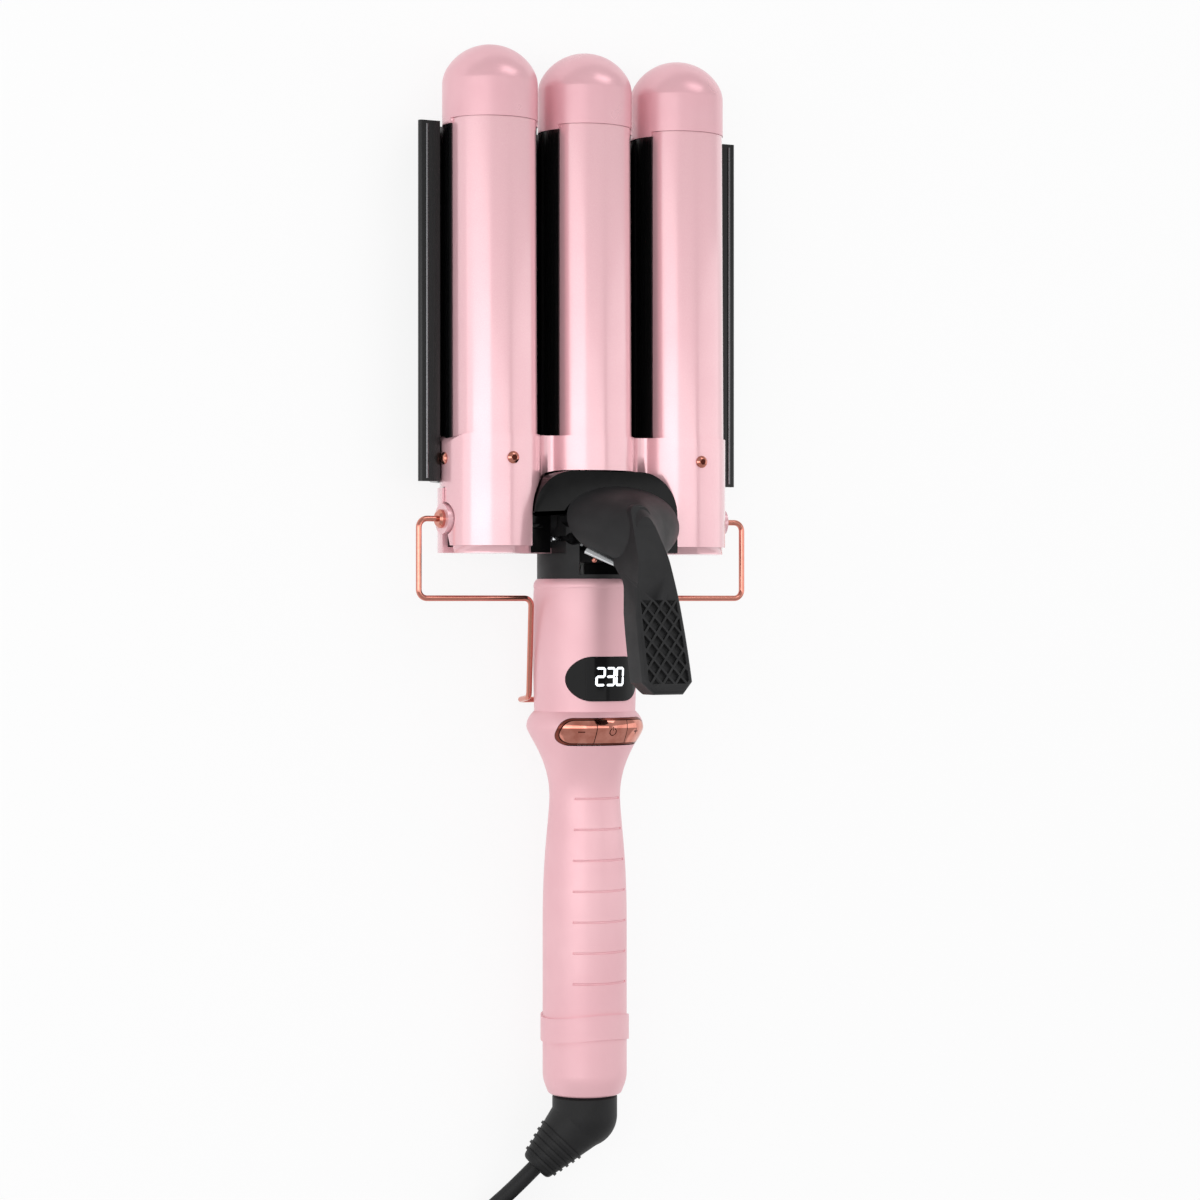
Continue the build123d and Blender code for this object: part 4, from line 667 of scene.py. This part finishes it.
def rounded(shape, offset, keep, segments=4):
    """Bevels the edges that keep() picks."""
    edges = [edge for edge in shape.edges if keep(edge)]
    bmesh.ops.bevel(shape, geom=edges, offset=offset, offset_type="OFFSET", affect="EDGES",
                    segments=segments, profile=0.5, material=-1, clamp_overlap=True)


def arc(cx, cy, radius, first, last, steps):
    """Points round part of a circle, angles in degrees."""
    turns = [math.radians(first + (last - first) * k / steps) for k in range(steps + 1)]
    return [(cx + radius * math.cos(turn), cy + radius * math.sin(turn)) for turn in turns]


def in_front(edge):
    return all(v.co.z > hub_front - 1e-5 for v in edge.verts) and edge.calc_length() > 1e-5


corner_x, corner_y = hub_half - hub_corner, hub_top - hub_corner
crown = arc(corner_x, corner_y, hub_corner, 0, 90, 14) + arc(-corner_x, corner_y, hub_corner, 90, 180, 14)
hub = plate([(hub_half, leg_foot)] + crown + [(-hub_half, leg_top), (leg_side, leg_top), (leg_side, leg_foot)],
            hub_back, hub_front)
rounded(hub, hub_round, lambda e: in_front(e) and
        (min(v.co.y for v in e.verts) > corner_y - 1e-4 or min(v.co.x for v in e.verts) > hub_half - 1e-5), 5)
made = piece("hub_arch", hub, finishes["gloss_black"], "front_jaw")
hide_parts("hub")

leg_end = leg_top + 0.002
leg = plate([(leg_side, leg_foot), (hub_half, leg_foot), (hub_half, leg_end), (leg_side, leg_end)],
            leg_back, hub_back + arch_overlap)
piece("hub_leg", leg, finishes["gloss_black"], "front_jaw")
floor_end = leg_top + 0.001
floor = plate([(-hub_half, leg_foot), (-leg_side, leg_foot), (-leg_side, floor_end), (-hub_half, floor_end)],
              leg_back, leg_back + pocket_floor)
piece("hub_pocket", floor, finishes["gloss_black"], "front_jaw")
step = plate([(-0.0272, -0.0036), (-0.0215, -0.0028), (-0.0215, -0.0012), (-0.0272, -0.0014)],
             leg_back, hub_back + 0.002)
rounded(step, 0.0004, lambda e: True, 2)
piece("pocket_step", step, finishes["gloss_black"], "front_jaw")

# %% Boss
boss_rings = [  # height above the axis, left, right, foot and top of each ring
    (0.0158, -0.0176, 0.0268, -0.0135, 0.0116),
    (0.0190, -0.0164, 0.0264, -0.0142, 0.0110),
    (0.0235, -0.0140, 0.0244, -0.0152, 0.0098),
    (0.0290, -0.0110, 0.0192, -0.0165, 0.0078),
    (0.0340, -0.0082, 0.0130, -0.0176, 0.0056),
    (0.0385, -0.0056, 0.0078, -0.0184, 0.0030),
    (0.0420, -0.0040, 0.0050, -0.0188, 0.0004),
]
boss = bmesh.new()
rings = []
for height, left, right_end, foot, top in boss_rings:
    made = bmesh.ops.create_circle(boss, segments=72, radius=1.0, cap_ends=False)["verts"]
    bmesh.ops.scale(boss, verts=made, vec=((right_end - left) / 2, (top - foot) / 2, 1))
    middle = ((right_end + left) / 2, (top + foot) / 2, axis_height + height)
    bmesh.ops.translate(boss, verts=made, vec=middle)
    rings.append([edge for edge in boss.edges if all(v in set(made) for v in edge.verts)])
for below, above in zip(rings, rings[1:]):
    bmesh.ops.bridge_loops(boss, edges=below + above)
bmesh.ops.triangle_fill(boss, edges=rings[0], use_beauty=True)
bmesh.ops.triangle_fill(boss, edges=rings[-1], use_beauty=True)
bmesh.ops.recalc_face_normals(boss, faces=boss.faces)
swing = math.radians(18)  # the jaw's full opening
neck_clear, handle_clear, handle_start, foot_slope = 0.0170, 0.0186, 0.0198, 0.3
hinge = Vector((0, 0, axis_height))
# The handle's axis and the way out from it, seen from the open jaw.
down_handle = Vector((0, -math.cos(swing), math.sin(swing)))
off_handle = Vector((0, math.sin(swing), math.cos(swing)))
cut(boss, hinge + neck_clear * off_handle, -off_handle)
cut(boss, hinge + handle_start * down_handle + handle_clear * off_handle,
    foot_slope * down_handle - off_handle)
piece("lever_boss", boss, finishes["satin_black"], "front_jaw", 40)

# %% Lever
crown_radius, crown_y, waist_x, waist_y = 0.0037, 0.0010, 0.0072, -0.022
lean = math.atan2(waist_x - crown_radius, crown_y - waist_y)
lever = copy_of("lever")
for turn in [lean] + [math.radians(a) for a in (26, 44, 62, 80)]:
    for side in (-1, 1):
        outward = Vector((side * math.cos(turn), math.sin(turn), 0))
        cut(lever, Vector((0, crown_y, 0)) + crown_radius * outward, outward)
bmesh.ops.dissolve_limit(lever, angle_limit=math.radians(0.5), verts=lever.verts, edges=lever.edges)
made = piece("pressing_lever", lever, finishes["satin_black"], "front_jaw", 28)
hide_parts("lever")

# %% Spring leaf and its rivet, under the boss
leaf_start = Vector((-0.0104, -0.0102, axis_height + 0.0215))
leaf_end = Vector((-0.0014, -0.0192, axis_height + 0.0396))
leaf = bmesh.new()
leaf_line = leaf_end - leaf_start
bmesh.ops.create_cone(leaf, cap_ends=True, segments=24, radius1=0.0021, radius2=0.0004, depth=leaf_line.length)
bmesh.ops.scale(leaf, verts=leaf.verts, vec=(1, 0.45, 1))
bmesh.ops.transform(leaf, verts=leaf.verts, matrix=leaf_line.to_track_quat("Z", "Y").to_matrix().to_4x4())
bmesh.ops.translate(leaf, verts=leaf.verts, vec=(leaf_start + leaf_end) / 2)
piece("spring_leaf", leaf, finishes["steel"], "front_jaw")
rivet = bmesh.new()
bmesh.ops.create_uvsphere(rivet, u_segments=20, v_segments=12, radius=0.0009)
bmesh.ops.translate(rivet, verts=rivet.verts, vec=(-0.0094, -0.0140, axis_height + 0.0240))
piece("leaf_rivet", rivet, finishes["rose_gold"], "front_jaw")

# %% [markdown]
# ## The cord
# The cord is a fixed length of rubber flex. It leaves the boot along the boot's arm, droops to the
# table, and what isn't used is wound in a neat coil behind a tie, with the plug beside it. Its
# line is one NURBS spline held by a few control points, as the flex would fair itself. The same
# spline with a round bevel is the tube.

# %% Where the cord runs
cord_radius = 0.0028
table_gap = 0.0001
cord_level = cord_radius + table_gap
boot_arm = Vector((-0.653, -0.719, -0.238)).normalized()
boot_pivot = Vector((0, -0.2066, axis_height))
boot_tip = boot_pivot + 0.025 * boot_arm
level_arm = Vector((boot_arm.x, boot_arm.y, 0)).normalized()
under_tip = Vector((boot_tip.x, boot_tip.y, cord_level))
coil_join = under_tip + 0.045 * level_arm
coil_radius = 0.032
coil_last_turn = coil_radius + 2 * cord_radius
coil_centre = coil_join + coil_last_turn * Vector((-level_arm.y, level_arm.x, 0))
tail_y = coil_centre.y - coil_last_turn
plug_level = 0.00685
print("coil centre", [round(v, 4) for v in coil_centre], "plug at y", round(tail_y, 4))

# %% [markdown]
# The coil is wound as a hand winds it: outer turn first on the table, inwards, up a layer, and
# outwards again. A turn steps to its next seat just before it would run into the turn below, so
# each layer's steps come a little earlier round the coil than those of the layer under it.

# %% The coil's turns, as control points
points_per_turn = 14
coil_start = math.atan2(-level_arm.x, level_arm.y)
coil_leave = 3732.2  # degrees round the coil from where the cord joins it to where it leaves
step_width = 60.0
fair = 0.975  # the spline runs this much inside its control points on a circle
leave_width = 75.0  # over this angle the last turn slips down the outside of the coil
leave_out, leave_drop = 0.0066, 0.0105
steps = [  # degrees round the coil, column and layer that the cord moves to
    (322, 1, 0), (682, 2, 0), (992, 2, 1), (1302, 1, 1), (1662, 0, 1), (1972, 0, 2),
    (2282, 1, 2), (2642, 2, 2), (2952, 2, 3), (3262, 1, 3), (3622, 0, 3),
]


def seat(turned):
    """The column and layer, in between while it steps, after turning so far round the coil."""
    column, layer = 0.0, 0.0
    for middle, to_column, to_layer in steps:
        share = min(max((turned - middle) / step_width + 0.5, 0), 1)
        share = share * share * (3 - 2 * share)
        column += (to_column - column) * share
        layer += (to_layer - layer) * share
    return column, layer


route = [boot_pivot + 0.012 * boot_arm, boot_tip + 0.008 * boot_arm, under_tip + 0.026 * level_arm]
count = round(coil_leave / 360 * points_per_turn)
for k in range(count):
    turned = (k + 0.5) * coil_leave / count
    column, layer = seat(turned)
    leaving = min(max((turned - coil_leave) / leave_width + 1, 0), 1)
    leaving = leaving * leaving * (3 - 2 * leaving)
    radius = (coil_last_turn - 2 * cord_radius * column) / fair + leave_out * leaving
    angle = coil_start + math.radians(turned)
    height = cord_level + 2 * cord_radius * layer - leave_drop * leaving
    x, y = coil_centre.x + radius * math.cos(angle), coil_centre.y + radius * math.sin(angle)
    route.append(Vector((x, y, height)))
tail_start = coil_centre.x + 0.002
route += [
    Vector((tail_start + 0.012, tail_y - 0.0052, plug_level)),
    Vector((tail_start + 0.030, tail_y, plug_level)),
    Vector((tail_start + 0.046, tail_y, plug_level)),
]
print(len(route), "control points,", count, "of them round the coil")

# %% The flex as one tube along its spline
def spline(points, bevel):
    """A curve object of one NURBS spline with these control points."""
    curve = bpy.data.curves.new("cord_line", "CURVE")
    curve.dimensions = "3D"
    curve.resolution_u = 6
    curve.bevel_depth = bevel
    curve.bevel_resolution = 3
    curve.use_fill_caps = True
    line = curve.splines.new("NURBS")
    line.points.add(len(points) - 1)
    for place, point in zip(line.points, points):
        place.co = (*point, 1)
    line.order_u = 3
    line.use_endpoint_u = True
    made = bpy.data.objects.new("cord_line", curve)
    bpy.context.scene.collection.objects.link(made)
    return made


def as_mesh(curve):
    """A curve's evaluated mesh; the curve itself is removed."""
    bpy.context.view_layer.update()
    mesh = bpy.data.meshes.new_from_object(curve.evaluated_get(bpy.context.evaluated_depsgraph_get()))
    bpy.data.objects.remove(curve)
    return mesh


line_mesh = as_mesh(spline(route, 0))
cord_mesh = as_mesh(spline(route, cord_radius))
cord_mesh.shade_smooth()
cord = bpy.data.objects.new("flex", cord_mesh)
bpy.context.scene.collection.objects.link(cord)
cord_mesh.materials.clear()
cord_mesh.materials.append(finishes["rubber_black"])
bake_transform(cord)
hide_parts("cord_tube", "cord_coil", "cord_tail")

# %% [markdown]
# ## Display digits
# The digits are lit segments behind the lens. They are modelled as thin bars with mitred ends on
# the lens's own curve, so they stay on it from every side. Each digit is seven bars, and a bar is
# drawn or not.

# %% Seven-segment digits
lens_radius = 0.0183
digit_width, digit_height, digit_step = 0.00365, 0.0066, 0.0038
bar_half = 0.00042
digits_middle = Vector((0.0002, -0.0539, 0))
digits_lean = math.tan(math.radians(3))
bars = {  # the segments of a figure, each from one corner to another in half heights
    "a": ((-1, 2), (1, 2)), "b": ((1, 2), (1, 0)), "c": ((1, 0), (1, -2)), "d": ((-1, -2), (1, -2)),
    "e": ((-1, 0), (-1, -2)), "f": ((-1, 2), (-1, 0)), "g": ((-1, 0), (1, 0)),
}
figures = {"2": "abged", "3": "abgcd", "0": "abcdef"}


def wrap(shape, radius):
    """Bends a flat shape, drawn in X and Y, round the tool's axis at a radius plus its own Z."""
    for vertex in shape.verts:
        turn = vertex.co.x / radius
        out = radius + vertex.co.z
        vertex.co.x, vertex.co.z = out * math.sin(turn), axis_height + out * math.cos(turn)


digits = bmesh.new()
for place, figure in enumerate("230"):
    middle = digits_middle + Vector(((place - 1) * digit_step, 0, 0))
    half = Vector((digit_width / 2 - bar_half, digit_height / 4 - bar_half / 2, 0))
    for key in figures[figure]:
        start, end = [middle + Vector((half.x * x, half.y * y, 0)) for x, y in bars[key]]
        along = (end - start).normalized()
        side = Vector((-along.y, along.x, 0)) * bar_half
        start, end = start - along * bar_half * 0.25, end + along * bar_half * 0.25
        outline = [start, start + along * bar_half + side, end - along * bar_half + side, end,
                   end - along * bar_half - side, start + along * bar_half - side]
        for point in outline:
            point.x += (point.y - digits_middle.y) * digits_lean
        face = digits.faces.new([digits.verts.new(point) for point in outline])
        lifted = bmesh.ops.extrude_face_region(digits, geom=[face])
        new = [v for v in lifted["geom"] if isinstance(v, bmesh.types.BMVert)]
        bmesh.ops.translate(digits, verts=new, vec=(0, 0, 0.00006))
wrap(digits, lens_radius)


def lit_digits():
    finish = Finish("lit_digits")
    glow = finish.noise(0.0012, detail=1.0)
    return finish.done(
        Base_Color=linear(235, 240, 245),
        Roughness=0.4,
        Emission_Color=finish.mix(finish.ramp(glow, 0.3, 0.7), linear(255, 255, 255), linear(238, 246, 255)),
        Emission_Strength=1.0,
    )


piece("display_digits", digits, lit_digits(), "handle")

# %% [markdown]
# ## The studio
# A pale table that shows white to the camera and in reflections, and still takes a soft shadow.
# Two tall soft boxes at the left draw the lacquer's highlights, a weaker one at the right lights
# the far edges, and one beyond the tips rounds the caps. The surround is low and even.

# %% Floor
def floor_finish():
    finish = Finish("table_top")
    ray = finish.tree.nodes.new("ShaderNodeLightPath")
    seen = Value(finish, ray.outputs["Is Camera Ray"]) * 0.86
    mirrored = Value(finish, ray.outputs["Is Glossy Ray"]) | Value(finish, ray.outputs["Is Transmission Ray"])
    white = finish.node("ShaderNodeEmission", {}, {"Color": (1, 1, 1, 1), "Strength": 1.0})
    finish.plug(finish.shader.inputs["Base Color"], linear(246, 246, 247))
    finish.plug(finish.shader.inputs["Roughness"], 0.6)
    finish.plug(finish.shader.inputs["Specular IOR Level"], 0.0)
    surface = Value(finish, finish.shader.outputs[0])
    both = finish.node("ShaderNodeMixShader", {}, {0: seen | mirrored, 1: surface, 2: white})
    finish.tree.links.new(both.socket, finish.output.inputs[0])
    return finish.material


table = bmesh.new()
bmesh.ops.create_grid(table, x_segments=1, y_segments=1, size=4.0)
table_mesh = bpy.data.meshes.new("table_top")
table.to_mesh(table_mesh)
table.free()
table_mesh.materials.append(floor_finish())
table_top = bpy.data.objects.new("table_top", table_mesh)
table_top.location.z = -0.0002
bpy.context.scene.collection.objects.link(table_top)

# %% Lamps and surround
def soft_box(name, turn, height, width, tall, watts, distance=1.3):
    """A tall soft box, turned from straight above the table towards the left, that faces the tool."""
    lamp = bpy.data.lights.new(name, "AREA")
    lamp.shape, lamp.size, lamp.size_y, lamp.energy = "RECTANGLE", width, tall, watts
    made = bpy.data.objects.new(name, lamp)
    away = Vector((-math.sin(math.radians(turn)), 0, math.cos(math.radians(turn))))
    made.location = away * distance + Vector((0, height, axis_height))
    made.rotation_euler = (Vector((0, 0, axis_height)) - made.location).to_track_quat("-Z", "Y").to_euler()
    bpy.context.scene.collection.objects.link(made)


soft_box("near_box", 26, 0.0, 0.38, 2.6, 4.4)
soft_box("wide_box", 70, 0.0, 0.70, 2.6, 6.4)
soft_box("right_box", -72, 0.0, 0.5, 2.6, 3.5)
soft_box("top_box", -25, 1.1, 0.9, 0.6, 3, distance=1.2)

world = bpy.data.worlds.new("surround")
world.use_nodes = True
bpy.context.scene.world = world
tree = world.node_tree
tree.nodes.clear()
low = tree.nodes.new("ShaderNodeBackground")
low.inputs["Color"].default_value, low.inputs["Strength"].default_value = (1, 1, 1, 1), 0.57
white = tree.nodes.new("ShaderNodeBackground")
white.inputs["Color"].default_value, white.inputs["Strength"].default_value = (1, 1, 1, 1), 1.0
ray = tree.nodes.new("ShaderNodeLightPath")
mixed = tree.nodes.new("ShaderNodeMixShader")
surround = tree.nodes.new("ShaderNodeOutputWorld")
tree.links.new(ray.outputs["Is Camera Ray"], mixed.inputs[0])
tree.links.new(low.outputs[0], mixed.inputs[1])
tree.links.new(white.outputs[0], mixed.inputs[2])
tree.links.new(mixed.outputs[0], surround.inputs[0])
bpy.context.scene.view_settings.view_transform = "Standard"
